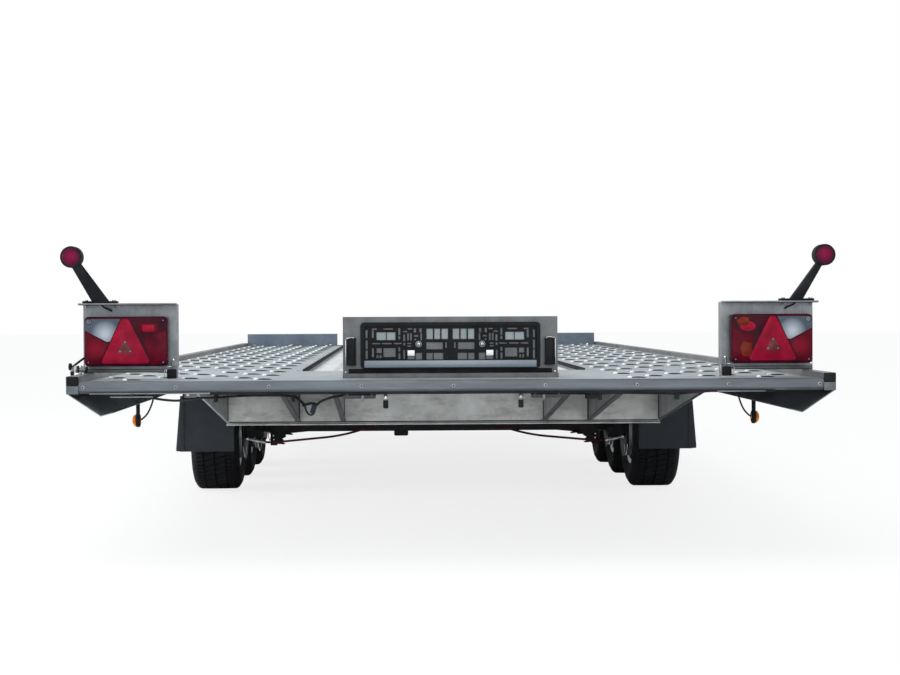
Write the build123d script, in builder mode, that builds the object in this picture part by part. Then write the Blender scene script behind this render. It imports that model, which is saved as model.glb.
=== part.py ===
"""Tri-axle flatbed car transporter trailer, galvanised steel, millimetres.

+X is the trailer's right side, +Y points forward to the coupling, +Z is up.
The ground is Z = 0 and the origin is the middle of the trailer's footprint.
Places along the trailer are given from its rear end, as the _y sizes.
"""
from build123d import *
from math import atan2, cos, degrees, hypot, radians, sin, tan
import os

os.makedirs("parts", exist_ok=True)

# ---------------------------------------------------------------- overall
deck_length = 6000.0
deck_width = 2220.0
coupling_reach = 1370.0        # from the deck's front end to the coupling's nose
rail_top = 545.0               # top of the side rails above the ground
seat_gap = 0.3                 # clearance between pieces that sit on each other

overall_length = deck_length + coupling_reach
rear = -overall_length / 2     # rear face of the end caps
front = rear + deck_length     # front end of the deck
half_width = deck_width / 2

# ---------------------------------------------------------------- heights
deck_drop = 18.0               # deck surface below the rail top
deck_sheet = 3.0
tray_height = 18.0             # folded edge of the deck panels
cross_height = 35.0
beam_height = 129.0

deck_top = rail_top - deck_drop
cross_top = deck_top - tray_height
beam_top = cross_top - cross_height
beam_bottom = beam_top - beam_height

# ---------------------------------------------------------------- side profile
rail_width = 36.0
rail_height = 27.0
side_sheet = 2.5
skirt_top_drop = 49.0          # from the rail top down to the first fold
skirt_drop = 115.0             # from the rail top down to the lowest fold
skirt_in = 98.0                # lowest fold, inwards from the outer face
lip_in = 132.0                 # edge of the lip, inwards from the outer face
lip_rise = 9.0
skirt_cut_in = 76.0            # the skirt is cut back to here beside the wheels, inwards from the outer face
skirt_cut_reach = 290.0        # and this far beyond the end axles
cap_length = 4.0               # black cap on the rail's open end
inner_half = half_width - rail_width - seat_gap    # where the deck panels end

# ---------------------------------------------------------------- rear end
bar_height = 35.0
bar_lip = 9.0
bar_flange = 56.0
bar_sheet = 3.0
bar_radius = 4.0
cross_plate_y = 1000.0         # rear crossmember, from the rear end
cross_plate_sheet = 4.0
cross_plate_flange = 70.0
cross_plate_half = half_width - 365.0
seam_y = 950.0                 # joint between the rear plate and the runways
gusset_sheet = 4.0
gusset_flange = 15.0
gusset_nose = 12.0             # height of a gusset's rear end
gusset_lift = 6.0              # a gusset's front tip above the crossmember's lip

# ---------------------------------------------------------------- chassis
beam_sheet = 4.0
beam_flange = 60.0
cross_width = 50.0
cross_sheet = 3.0
cross_places = (1560.0, 2580.0, 3166.0, 3840.0, 4500.0, 5160.0, 5700.0)
runway_inner = 478.0           # half gap between the runways
rib_rise = 13.0
rib_pitch = 136.0
rib_sheet = 2.0
slot_long = 48.0                # slots punched in the deck, across the trailer
slot_wide = 11.0
slot_pitch = 346.0
slot_first = 176.0
slot_seam_clear = 34.0         # no slot is this close to the seam
# columns of slots: inwards from the deck's edge, share of a pitch by which the column starts later
slot_columns = (
    (62.0, 0.5),
    (130.0, 0.0),
    (213.0, 0.5),
    (288.0, 0.3),
    (362.0, 0.85),
    (448.0, 0.35),
    (517.0, 0.0),
)
stop_inner = 520.0
stop_height = 70.0
stop_foot = 60.0
stop_sheet = 4.0

# ---------------------------------------------------------------- drawbar
draw_tube_height = 90.0
draw_tube_width = 60.0
draw_tube_wall = 5.0
draw_root_y = deck_length - 1650.0
draw_root_x = cross_plate_half - 105.0
draw_nose_y = deck_length + 980.0
draw_nose_x = 78.0
draw_front_tube_y = deck_length - 150.0
draw_clear = 6.0               # under the deck's crossmembers
nose_plate = 8.0
nose_plate_length = 330.0

# ---------------------------------------------------------------- running gear
tyre_diameter = 466.0
tyre_width = 195.0
rim_diameter = 254.0
track = deck_width - 427.0
rear_axle_y = 2290.0
axle_pitch = 586.0
axle_tube = 80.0
axle_wall = 6.0
arm_trail = 150.0              # wheel centre behind the axle tube
arm_drop = 34.0                # wheel centre below the axle tube
arm_thick = 26.0
hanger_sheet = 6.0
hanger_x = cross_plate_half - 55.0
hanger_bottom = rail_top - 367.0
spindle_radius = 20.0
spindle_clearance = 0.3
running_gap = 6.0
backplate_radius = 112.0
backplate_thick = 5.0
drum_radius = 106.0
drum_depth = 58.0

axle_places = [rear + rear_axle_y + n * axle_pitch for n in range(3)]
wheel_names = ("rear", "middle", "front")
wheel_z = tyre_diameter / 2
half_track = track / 2
wheel_inner = half_track - tyre_width / 2
backplate_x = wheel_inner - 14.0

# ---------------------------------------------------------------- cables
cord_sides = 8                 # flats round a cable or wire
cable_radius = 4.5
cable_stop_half = 70.0
cable_stop_height = 46.0
cable_stop_sheet = 8.0
wire_radius = 4.0
wire_y = 78.0
wire_drop = 72.0               # from the rail top down to the wiring
wire_clip = (14.0, 34.0)       # size of a clip across and along the trailer
wire_clips = (-690.0, -466.0, 432.0, 659.0)
# brake cable on the right: distance from the middle, distance behind the axle tube, height above the tube's middle
cable_route = (
    (backplate_x - 1.2, 225.0, -56.0),
    (hanger_x, 230.0, -74.0),
    (hanger_x - 350.0, 228.0, -42.0),
    (100.0, 170.0, 62.0),
    (40.0, 5.9, 68.0),
)
# wiring under the rear bar: x, height above its own line
wire_route = (
    (-1060.0, 0.0),
    (-690.0, -2.0),
    (-466.0, -2.0),
    (-424.0, -46.0),
    (-384.0, -46.0),
    (-336.0, 2.0),
    (200.0, 2.0),
    (432.0, 0.0),
    (800.0, 2.0),
)

# ---------------------------------------------------------------- mud flaps
flap_y = rear_axle_y - 340.0
flap_inner = half_width - 302.0
flap_outer = half_width - 92.0
flap_bottom = 179.0
flap_sheet = 6.0
flap_return = 50.0

# ---------------------------------------------------------------- lamp brackets
lamp_plate_y = 280.0
lamp_plate_inner = half_width - 284.0
lamp_plate_outer = half_width - 3.0
lamp_plate_top = rail_top + 208.0
lamp_sheet = 3.0
lamp_shelf = 48.0              # depth of the top fold, rearwards
lamp_shelf_over = 9.0          # the top fold's overhang at its outer end
lamp_return = 45.0             # depth of the inner fold, forwards
lamp_tube = 30.0
lamp_tube_length = 46.0
lamp_weld = 1.0                # how far the plate is let into the tube
lamp_plate_bottom = deck_top + seat_gap + lamp_tube - lamp_weld
lamp_inner = lamp_plate_inner + 23.0
lamp_outer = lamp_plate_outer - 10.0
lamp_bottom = rail_top + 22.0
lamp_top = rail_top + 171.0
lamp_base_depth = 28.0
lamp_lens_depth = 18.0
lamp_corner = 14.0
triangle_half = 65.0           # reflector triangle, half its base
triangle_height = 130.0

# ---------------------------------------------------------------- marker lamps
marker_x = half_width + 31.0
marker_z = lamp_plate_top + 145.0
marker_radius = 31.0
marker_depth = 50.0
marker_lens = 5.0
marker_base = (half_width - 110.0, half_width - 6.0)
marker_base_thick = 7.0
marker_base_depth = 40.0
marker_root = (half_width - 86.0, half_width - 35.0)
marker_neck = 34.0

# ---------------------------------------------------------------- number plate
plate_half = 326.0
plate_y = 280.0
plate_top = rail_top + 167.0
plate_foot = 14.0
plate_foot_y = 245.0
plate_sheet = 3.0
plate_return = 40.0
holder_half = 272.5
holder_bottom = rail_top + 10.0
holder_top = rail_top + 150.0
holder_depth = 15.0
holder_back_sheet = 4.0
holder_rim = 11.0
holder_corner = 12.0
holder_foot = 3.0              # frame below the blank strip
holder_strip = 22.0
strip_recess = 1.5
# openings of the grid, mirrored about the middle: lower and upper edge above the rail top,
# then the reach of each opening from the middle
grid_rows = (
    (37, 57, ((22, 51), (54, 73), (86, 106))),
    (38, 65, ((109, 130),)),
    (39, 66, ((138, 143), (251, 257))),
    (39, 57, ((152, 158),)),
    (42, 52, ((209, 215), (218, 224))),
    (45, 72, ((166, 203), (232, 238))),
    (57, 72, ((208, 224),)),
    (62, 74, ((152, 158),)),
    (68, 89, ((23, 73),)),
    (69, 96, ((251, 257),)),
    (72, 89, ((11, 16),)),
    (76, 80, ((119, 131),)),
    (80, 88, ((137, 143),)),
    (84, 88, ((119, 131), (148, 171), (178, 208), (213, 237))),
    (93, 113, ((137, 143),)),
    (95, 101, ((104, 109),)),
    (95, 117, ((86, 91), (117, 122), (126, 131))),
    (96, 120, ((166, 193), (195, 224))),
    (98, 108, ((152, 158),)),
    (98, 131, ((7, 27), (31, 49), (53, 73))),
    (103, 127, ((232, 238), (251, 257))),
    (106, 111, ((98, 110),)),
    (111, 132, ((152, 158),)),
    (119, 132, ((87, 94), (104, 111))),
    (120, 124, ((131, 144),)),
    (128, 132, ((116, 129), (174, 203), (223, 238))),
)
licence_x = 300.0
licence_half = 15.0
licence_bottom = rail_top + 20.0
licence_top = rail_top + 103.0
licence_depth = 34.0

# ---------------------------------------------------------------- side markers
side_marker_x = half_width - 118.0
side_marker_y = 600.0
side_marker_bottom = rail_top - 183.0
side_stalk = (9.0, 22.0)
side_lens = (12.0, 48.0, 24.0)

# ---------------------------------------------------------------- ramp catches
spring_pin_x = 196.0
spring_pin_y = 30.0
spring_pin_bottom = rail_top - 97.0
bolt_inner = 225.0
bolt_outer = 318.0
bolt_radius = 7.0

# ---------------------------------------------------------------- coupling
overrun_half = 45.0
overrun_length = 360.0
overrun_height = 84.0
overrun_nose_y = draw_nose_y + 140.0
draw_bar_radius = 25.0
bellows_radius = 42.0
bellows_length = 90.0
head_length = 160.0
head_width = 84.0
head_height = 70.0
ball_radius = 25.0
handle_rise = 60.0            # the coupling handle's tail above the head
handle_back = 122.0            # and behind the ball
lever_rise = 260.0             # the brake lever's top above the draw bar
lever_back = 82.0
lever_thick = 10.0

# ---------------------------------------------------------------- jockey wheel
jockey_y = draw_nose_y - 480.0
jockey_outer_radius = 30.0
jockey_stand_off = 51.4        # from the draw tube's outer side to the jockey tube's middle
draw_slant = (draw_root_x - draw_nose_x) / (draw_nose_y - draw_root_y)
jockey_x = draw_nose_x + (draw_nose_y - jockey_y) * draw_slant + draw_tube_width / 2 + jockey_stand_off
jockey_inner_radius = 24.0
jockey_wall = 3.0
jockey_tube_bottom = 330.0
jockey_tube_top = 620.0
jockey_leg_length = 290.0
crank_stem = 10.0
crank_thick = 6.0
crank_knob = 50.0
jockey_wheel_radius = 100.0
jockey_wheel_width = 60.0
jockey_trail = 42.0
fork_thick = 6.0
fork_top = 236.0
clamp_height = 75.0
clamp_depth = 70.0


def facing_rear(y, x=0.0, z=0.0):
    """Plane across the trailer: its x is X, its y is Z, and it faces the rear."""
    return Plane(origin=(x, y, z), x_dir=(1, 0, 0), z_dir=(0, -1, 0))


def finish(builder, name):
    """Label a finished sub-part and write it."""
    builder.part.label = name
    export_step(builder.part, f"parts/{name}.step")


# ---------------------------------------------------------------- side profiles
with BuildPart() as side_profiles:
    with BuildSketch(facing_rear(rear + cap_length)):
        with BuildLine():
            # bead, outer wall, skirt and lip of the right-hand profile
            Polyline(
                (half_width - rail_width, rail_top - rail_height),
                (half_width - rail_width, rail_top),
                (half_width, rail_top),
                (half_width, rail_top - skirt_top_drop),
                (half_width - skirt_in, rail_top - skirt_drop),
                (half_width - lip_in, rail_top - skirt_drop + lip_rise),
            )
            offset(amount=side_sheet, side=Side.RIGHT)
        make_face()
        with Locations((half_width - rail_width / 2, rail_top - rail_height + side_sheet / 2)):
            Rectangle(rail_width, side_sheet)
    extrude(amount=-(deck_length - 2 * cap_length))
    with BuildSketch(Plane.XY.offset(rail_top - skirt_drop - side_sheet)):
        with Locations((half_width - (skirt_cut_in + lip_in) / 2, axle_places[1])):
            Rectangle(lip_in - skirt_cut_in + 10, 2 * (axle_pitch + skirt_cut_reach))
    extrude(amount=skirt_drop - skirt_top_drop, mode=Mode.SUBTRACT)
    mirror(about=Plane.YZ)
finish(side_profiles, "side_profiles")

with BuildPart() as end_caps:
    for y in (rear, front - cap_length + seat_gap):
        with BuildSketch(facing_rear(y, half_width - rail_width / 2, rail_top - rail_height / 2)):
            Rectangle(rail_width, rail_height)
        extrude(amount=-(cap_length - seat_gap))
    # plugs in the rear ends of the lamp brackets' tubes
    plug_x = lamp_plate_inner + lamp_tube / 2
    with BuildSketch(facing_rear(rear + lamp_plate_y - 14, plug_x, deck_top + lamp_tube / 2 + seat_gap)):
        Rectangle(lamp_tube, lamp_tube)
    extrude(amount=-(cap_length - seat_gap))
    mirror(about=Plane.YZ)
finish(end_caps, "end_caps")

# ---------------------------------------------------------------- end bars
# folded channel: top flange, face, curved lip and lower flange, in the trailer's side view
with BuildPart() as end_bars:
    with BuildSketch(Plane.YZ.offset(-inner_half)):
        with BuildLine():
            bar_face = rear + cap_length
            FilletPolyline(
                (bar_face + bar_flange - 15, deck_top + bar_sheet),
                (bar_face, deck_top + bar_sheet),
                (bar_face, deck_top + bar_sheet - bar_height + bar_lip),
                (bar_face + bar_lip, deck_top + bar_sheet - bar_height),
                (bar_face + bar_flange, deck_top + bar_sheet - bar_height),
                radius=bar_radius,
            )
            offset(amount=bar_sheet, side=Side.LEFT)
        make_face()
    extrude(amount=2 * inner_half)
    mirror(about=Plane.XZ.offset(-(rear + front) / 2))
finish(end_bars, "end_bars")

# ---------------------------------------------------------------- rear crossmember and gussets
with BuildPart() as rear_crossmember:
    with BuildSketch(Plane.YZ.offset(-cross_plate_half)):
        with BuildLine():
            web_y = rear + cross_plate_y
            Polyline(
                (web_y - cross_plate_flange, cross_top),
                (web_y, cross_top),
                (web_y, beam_bottom),
                (web_y - 16, beam_bottom - 4),
            )
            offset(amount=cross_plate_sheet, side=Side.RIGHT)
        make_face()
    extrude(amount=2 * cross_plate_half)
finish(rear_crossmember, "rear_crossmember")

# table of gussets: x of the plate, width of the flange along its lower edge
gusset_table = (
    (cross_plate_half - gusset_sheet / 2, 0.0),
    (500.0, gusset_flange),
    (345.0, gusset_flange),
)
gusset_start = rear + cap_length + bar_flange + seat_gap
gusset_end = rear + cross_plate_y - cross_plate_sheet - seat_gap
under_flange = cross_top - cross_plate_sheet - seat_gap
with BuildPart() as rear_gussets:
    for x, flange in gusset_table:
        slope = (gusset_start, under_flange - gusset_nose), (gusset_end, beam_bottom + gusset_lift)
        with BuildSketch(Plane.YZ.offset(x - gusset_sheet / 2)):
            with BuildLine():
                Polyline(
                    (gusset_start, deck_top - deck_sheet - seat_gap),
                    (rear + cross_plate_y - cross_plate_flange - 6, deck_top - deck_sheet - seat_gap),
                    (rear + cross_plate_y - cross_plate_flange - 6, under_flange),
                    (gusset_end, under_flange),
                    slope[1],
                    slope[0],
                    close=True,
                )
            make_face()
        extrude(amount=gusset_sheet)
        if flange:
            with BuildSketch(Plane.YZ.offset(x - flange / 2)):
                with BuildLine():
                    Polyline(slope[0], slope[1], (slope[1][0], slope[1][1] + 4), (slope[0][0], slope[0][1] + 4), close=True)
                make_face()
            extrude(amount=flange)
    mirror(about=Plane.YZ)
finish(rear_gussets, "rear_gussets")

# ---------------------------------------------------------------- main frame
with BuildPart() as main_beams:
    with BuildSketch(facing_rear(rear + cross_plate_y + seat_gap)):
        with BuildLine():
            # C section, open to the inside
            Polyline(
                (cross_plate_half - beam_flange, beam_bottom),
                (cross_plate_half, beam_bottom),
                (cross_plate_half, beam_top),
                (cross_plate_half - beam_flange, beam_top),
            )
            offset(amount=beam_sheet, side=Side.LEFT)
        make_face()
    extrude(amount=-(deck_length - cross_plate_y - cap_length - bar_flange))
    mirror(about=Plane.YZ)
finish(main_beams, "main_beams")

skirt_slope = (skirt_drop - skirt_top_drop) / skirt_in
skirt_offset = side_sheet * hypot(skirt_slope, 1) / skirt_slope
cross_half = half_width - (rail_top - skirt_top_drop - beam_top) / skirt_slope - skirt_offset - seat_gap
with BuildPart() as crossmembers:
    for place in cross_places:
        with BuildSketch(Plane.YZ.offset(-cross_half)):
            with BuildLine():
                y = rear + place
                Polyline(
                    (y - cross_width / 2, beam_top + seat_gap),
                    (y - cross_width / 2, cross_top),
                    (y + cross_width / 2, cross_top),
                    (y + cross_width / 2, beam_top + seat_gap),
                )
                offset(amount=cross_sheet, side=Side.RIGHT)
            make_face()
        extrude(amount=2 * cross_half)
finish(crossmembers, "crossmembers")

# ---------------------------------------------------------------- deck
def slot_places(start, end):
    """Middles of the slots that lie wholly between two places along the deck."""
    places = []
    for inwards, share in slot_columns:
        x = inner_half - inwards
        for n in range(int(deck_length / slot_pitch) + 1):
            y = rear + slot_first + (n + share) * slot_pitch
            clear_of_seam = abs(y - rear - seam_y) > slot_seam_clear
            if start + slot_wide < y < end - slot_wide and clear_of_seam:
                places += [(x, y), (-x, y)]
    return places


with BuildPart() as deck_rear_plate:
    plate_start = rear + cap_length + bar_radius + seat_gap
    plate_end = rear + seam_y
    with BuildSketch(Plane.XY.offset(deck_top - deck_sheet)):
        with Locations((0, (plate_start + plate_end) / 2)):
            Rectangle(2 * inner_half, plate_end - plate_start)
    extrude(amount=deck_sheet)
    with BuildSketch(Plane.XY.offset(cross_top + seat_gap)):
        with Locations((0, plate_end - deck_sheet / 2)):
            Rectangle(2 * inner_half, deck_sheet)
        with Locations((inner_half - deck_sheet / 2, (plate_start + plate_end) / 2 + 30)):
            Rectangle(deck_sheet, plate_end - plate_start - 60)
        with Locations((-(inner_half - deck_sheet / 2), (plate_start + plate_end) / 2 + 30)):
            Rectangle(deck_sheet, plate_end - plate_start - 60)
    extrude(amount=tray_height - deck_sheet)
    with BuildSketch(Plane.XY.offset(deck_top - deck_sheet)):
        with Locations(*slot_places(plate_start, plate_end)):
            Rectangle(slot_long, slot_wide)
    extrude(amount=deck_sheet, mode=Mode.SUBTRACT)
finish(deck_rear_plate, "deck_rear_plate")

runway_start = rear + seam_y + seat_gap
runway_end = front - cap_length - bar_radius - seat_gap
with BuildPart() as runways:
    with BuildSketch(facing_rear(runway_start)):
        with BuildLine():
            Polyline(
                (runway_inner, cross_top + seat_gap),
                (runway_inner, deck_top),
                (inner_half, deck_top),
                (inner_half, cross_top + seat_gap),
            )
            offset(amount=deck_sheet, side=Side.RIGHT)
        make_face()
    extrude(amount=-(runway_end - bar_flange - runway_start))
    mirror(about=Plane.YZ)
    with BuildSketch(Plane.XY.offset(deck_top - deck_sheet)):
        with Locations(*slot_places(runway_start, runway_end - bar_flange)):
            Rectangle(slot_long, slot_wide)
    extrude(amount=deck_sheet, mode=Mode.SUBTRACT)
finish(runways, "runways")

with BuildPart() as deck_centre:
    rib_count = 7
    rib_points = [(-runway_inner + seat_gap, cross_top + seat_gap)]
    for n in range(rib_count):
        x = (n - (rib_count - 1) / 2) * rib_pitch
        rib_points += [
            (x - 34, cross_top + seat_gap),
            (x - 24, cross_top + seat_gap + rib_rise),
            (x + 24, cross_top + seat_gap + rib_rise),
            (x + 34, cross_top + seat_gap),
        ]
    rib_points += [(runway_inner - seat_gap, cross_top + seat_gap)]
    with BuildSketch(facing_rear(runway_start)):
        with BuildLine():
            Polyline(*rib_points)
            offset(amount=rib_sheet, side=Side.LEFT)
        make_face()
    extrude(amount=-(runway_end - bar_flange - runway_start))
finish(deck_centre, "deck_centre")

with BuildPart() as wheel_stops:
    with BuildSketch(Plane.YZ.offset(stop_inner)):
        with BuildLine():
            stop_y = front - 90
            Polyline((stop_y - stop_foot, deck_top + seat_gap), (stop_y, deck_top + seat_gap),
                     (stop_y, deck_top + stop_height), (stop_y + 14, deck_top + stop_height))
            offset(amount=stop_sheet, side=Side.LEFT)
        make_face()
    extrude(amount=inner_half - stop_inner)
    mirror(about=Plane.YZ)
finish(wheel_stops, "wheel_stops")

# ---------------------------------------------------------------- drawbar
draw_top = beam_top - draw_clear
draw_middle = draw_top - draw_tube_height / 2
draw_bottom = draw_top - draw_tube_height
draw_run = draw_nose_y - draw_root_y
draw_side = draw_root_x - draw_nose_x
draw_long = hypot(draw_run, draw_side)
draw_turn = degrees(atan2(draw_side, draw_run))
with BuildPart() as drawbar:
    for hollow in (0, draw_tube_wall):
        mode = Mode.SUBTRACT if hollow else Mode.ADD
        for side in (-1, 1):
            leg = Plane(
                origin=(side * draw_root_x, rear + draw_root_y, draw_middle),
                x_dir=(cos(radians(draw_turn)), side * sin(radians(draw_turn)), 0),
                z_dir=(-side * sin(radians(draw_turn)), cos(radians(draw_turn)), 0),
            )
            with BuildSketch(leg):
                Rectangle(draw_tube_width - 2 * hollow, draw_tube_height - 2 * hollow)
            extrude(amount=draw_long, mode=mode)
        for place in (draw_root_y, draw_front_tube_y):
            with BuildSketch(Plane.YZ.offset(-(cross_plate_half - beam_sheet - seat_gap))):
                with Locations((rear + place, draw_middle)):
                    Rectangle(draw_tube_width - 2 * hollow, draw_tube_height - 2 * hollow)
            extrude(amount=2 * (cross_plate_half - beam_sheet - seat_gap), mode=mode)
    # nose plate under the V, narrowing forwards
    plate_back = draw_nose_y - nose_plate_length
    plate_back_x = draw_nose_x + nose_plate_length * draw_side / draw_run
    with BuildSketch(Plane.XY.offset(draw_bottom - nose_plate)):
        with BuildLine():
            Polyline(
                (-plate_back_x, rear + plate_back), (plate_back_x, rear + plate_back),
                (draw_nose_x + 20, rear + draw_nose_y), (-draw_nose_x - 20, rear + draw_nose_y), close=True)
        make_face()
    extrude(amount=nose_plate)
    # clamp that carries the jockey wheel's tube
    draw_outer_x = draw_nose_x + (draw_nose_y - jockey_y) * draw_side / draw_run + draw_tube_width / 2
    clamp_ends = draw_outer_x - 8, jockey_x + jockey_outer_radius + 8
    with BuildSketch(Plane.XY.offset(draw_middle - clamp_height / 2)):
        with Locations(((clamp_ends[0] + clamp_ends[1]) / 2, rear + jockey_y)):
            Rectangle(clamp_ends[1] - clamp_ends[0], clamp_depth)
        with Locations((jockey_x, rear + jockey_y)):
            Circle(jockey_outer_radius + seat_gap, mode=Mode.SUBTRACT)
    extrude(amount=clamp_height)
finish(drawbar, "drawbar")

# ---------------------------------------------------------------- axles
with BuildPart() as axle_beams:
    for axle in axle_places:
        tube_y = axle + arm_trail
        tube_z = wheel_z + arm_drop
        tube_half = hanger_x + 30
        with BuildSketch(Plane.YZ.offset(-tube_half)):
            with Locations((tube_y, tube_z)):
                Rectangle(axle_tube, axle_tube)
                Rectangle(axle_tube - 2 * axle_wall, axle_tube - 2 * axle_wall, mode=Mode.SUBTRACT)
        extrude(amount=2 * tube_half)
        for side in (-1, 1):
            # hanger plate between the main beam and the tube, with its tail hanging below
            with BuildSketch(Plane.YZ.offset(side * hanger_x - hanger_sheet / 2)):
                with BuildLine():
                    Polyline(
                        (tube_y - 120, beam_bottom - seat_gap), (tube_y + 120, beam_bottom - seat_gap),
                        (tube_y + 120, beam_bottom - 30), (tube_y + 62, tube_z - 20),
                        (tube_y + 40, hanger_bottom), (tube_y - 30, hanger_bottom),
                        (tube_y - 52, tube_z - 26), (tube_y - 120, beam_bottom - 30), close=True)
                make_face()
                with Locations((tube_y, tube_z)):
                    Rectangle(axle_tube - 1, axle_tube - 1, mode=Mode.SUBTRACT)
            extrude(amount=hanger_sheet)
        # stop on the tube's middle for the two brake cables
        with BuildSketch(Plane.XY.offset(tube_z + axle_tube / 2 - 1)):
            with Locations((0, tube_y)):
                Rectangle(2 * cable_stop_half, cable_stop_sheet)
        extrude(amount=cable_stop_height + 1)
finish(axle_beams, "axle_beams")

arm_x = hanger_x + 30 + seat_gap
with BuildPart() as trailing_arms:
    for axle in axle_places:
        tube_y = axle + arm_trail
        tube_z = wheel_z + arm_drop
        with BuildSketch(Plane.YZ.offset(arm_x)):
            with BuildLine():
                # tapered forging from the tube down to the wheel's spindle
                Polyline(
                    (tube_y + 38, tube_z - 22), (tube_y + 38, tube_z + 22), (tube_y + 16, tube_z + 38),
                    (tube_y - 14, tube_z + 38), (axle - 12, wheel_z + 30), (axle - 30, wheel_z + 10),
                    (axle - 30, wheel_z - 10), (axle - 12, wheel_z - 30), (axle + 12, wheel_z - 30),
                    (tube_y + 16, tube_z - 38), close=True)
            make_face()
        extrude(amount=arm_thick)
        with BuildSketch(Plane.YZ.offset(arm_x + arm_thick)):
            with Locations((axle, wheel_z)):
                Rectangle(44, 44)
        extrude(amount=backplate_x - arm_x - arm_thick)
        with BuildSketch(Plane.YZ.offset(backplate_x)):
            with Locations((axle, wheel_z)):
                Circle(backplate_radius)
        extrude(amount=backplate_thick)
        with BuildSketch(Plane.YZ.offset(backplate_x + backplate_thick)):
            with Locations((axle, wheel_z)):
                Circle(spindle_radius)
        extrude(amount=half_track - backplate_x)
    mirror(about=Plane.YZ)
finish(trailing_arms, "trailing_arms")



def cord(points, radius):
    """A round cord along straight runs, joined by the largest arcs that its runs allow."""
    points = [Vector(*point) for point in points]
    runs = [(b - a) for a, b in zip(points, points[1:])]
    bends = []
    for before, after in zip(runs, runs[1:]):
        turn = radians(before.get_angle(after))
        bends.append(0.45 * min(before.length, after.length) / tan(turn / 2))
    with BuildPart() as tube:
        with BuildLine():
            path = FilletPolyline(*points, radius=bends)
        with BuildSketch(path ^ 0):
            RegularPolygon(radius, cord_sides)
        sweep()
    return tube.part


with BuildPart() as brake_cables:
    for axle in axle_places:
        for side in (-1, 1):
            route = [(side * x, axle + arm_trail - back, wheel_z + arm_drop + up) for x, back, up in cable_route]
            add(cord(route, cable_radius))
finish(brake_cables, "brake_cables")

wire_z = rail_top - wire_drop
with BuildPart() as wiring:
    add(cord([(x, rear + wire_y, wire_z + up) for x, up in wire_route], wire_radius))
    # clips that hang the wiring from the rear bar
    for x in wire_clips:
        with BuildSketch(Plane.XY.offset(wire_z - 8)):
            with Locations((x, rear + wire_y - wire_clip[1] / 2 + 8)):
                Rectangle(*wire_clip)
        extrude(amount=deck_top + bar_sheet - bar_height - seat_gap - wire_z + 8)
finish(wiring, "wiring")

# ---------------------------------------------------------------- wheels
tyre_radius = tyre_diameter / 2
rim_radius = rim_diameter / 2
hub_radius = 33.0
rim_wall = 4.0
disc_offset = 34.0             # wheel disc, outwards from the tyre's middle
drum_back = backplate_x + backplate_thick + running_gap - half_track
rim_half = 76.0                # half width between the beads
flange_half = 84.0             # half width over the flanges
flange_rise = 12.0
hub_cap = 72.0                 # end of the hub cap, outwards from the tyre's middle
# closed section of a wheel: distance outwards from the tyre's middle, radius
rim_section = (
    (flange_half, rim_radius + flange_rise),
    (rim_half, rim_radius - seat_gap),
    (-rim_half, rim_radius - seat_gap),
    (-flange_half, rim_radius + flange_rise),
    (-rim_half - 3, rim_radius - rim_wall),
    (disc_offset - 6, rim_radius - rim_wall),
    (disc_offset - 6, drum_radius),
    (drum_back, drum_radius),
    (drum_back, spindle_radius + spindle_clearance),
    (disc_offset - 20, spindle_radius + spindle_clearance),
    (disc_offset - 20, 0),
    (hub_cap, 0),
    (hub_cap - 6, hub_radius - 4),
    (disc_offset, hub_radius),
    (disc_offset + 12, rim_radius - rim_wall),
    (rim_half + 3, rim_radius - rim_wall),
)


# half section of a tyre: distance from its middle, radius
tyre_section = (
    (tyre_width / 2 - 24, rim_radius),
    (tyre_width / 2, rim_radius + 50),
    (tyre_width / 2 - 5, tyre_radius - 22),
    (tyre_width / 2 - 26, tyre_radius),
)


def wheel_plane(x, y):
    """Section plane through a wheel: local x is X from the tyre's middle, local y is the radius."""
    return Plane(origin=(x, y, wheel_z), x_dir=(1, 0, 0), z_dir=(0, -1, 0))


for axle, name in zip(axle_places, wheel_names):
    for side, hand in ((-1, "left"), (1, "right")):
        hub = side * half_track
        spin = Axis((hub, axle, wheel_z), (1, 0, 0))
        with BuildPart() as tyre:
            with BuildSketch(wheel_plane(hub, axle)):
                with BuildLine():
                    # bead, both side walls, shoulders and tread
                    Polyline(*[(-x, r) for x, r in tyre_section], *reversed(tyre_section), close=True)
                make_face()
            revolve(axis=spin)
        finish(tyre, f"tyre_{name}_{hand}")

        with BuildPart() as rim:
            with BuildSketch(wheel_plane(hub, axle)):
                with BuildLine():
                    # rim barrel with its flanges, disc, hub cap and brake drum
                    Polyline(*[(side * x, r) for x, r in rim_section], close=True)
                make_face()
            revolve(axis=spin)
        finish(rim, f"rim_{name}_{hand}")

# ---------------------------------------------------------------- mud flaps
with BuildPart() as mud_flaps:
    flap_back = rear + flap_y
    skirt_clear = rail_top - skirt_drop - 8
    flap_top = deck_top - deck_sheet - seat_gap
    flap_narrow = half_width - lip_in - 10
    with BuildSketch(facing_rear(flap_back)):
        with BuildLine():
            Polyline(
                (flap_inner, flap_bottom), (flap_outer, flap_bottom), (flap_outer - 10, skirt_clear),
                (flap_narrow, skirt_clear), (flap_narrow, flap_top), (flap_inner, flap_top), close=True)
        make_face()
    extrude(amount=-flap_sheet)
    for x in (flap_inner, flap_outer - 10 - flap_sheet):
        with BuildSketch(Plane.YZ.offset(x)):
            with BuildLine():
                Polyline((flap_back, flap_bottom), (flap_back + flap_return * 0.5, flap_bottom),
                         (flap_back + flap_return, skirt_clear), (flap_back, skirt_clear), close=True)
            make_face()
        extrude(amount=flap_sheet)
    mirror(about=Plane.YZ)
finish(mud_flaps, "mud_flaps")

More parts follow.
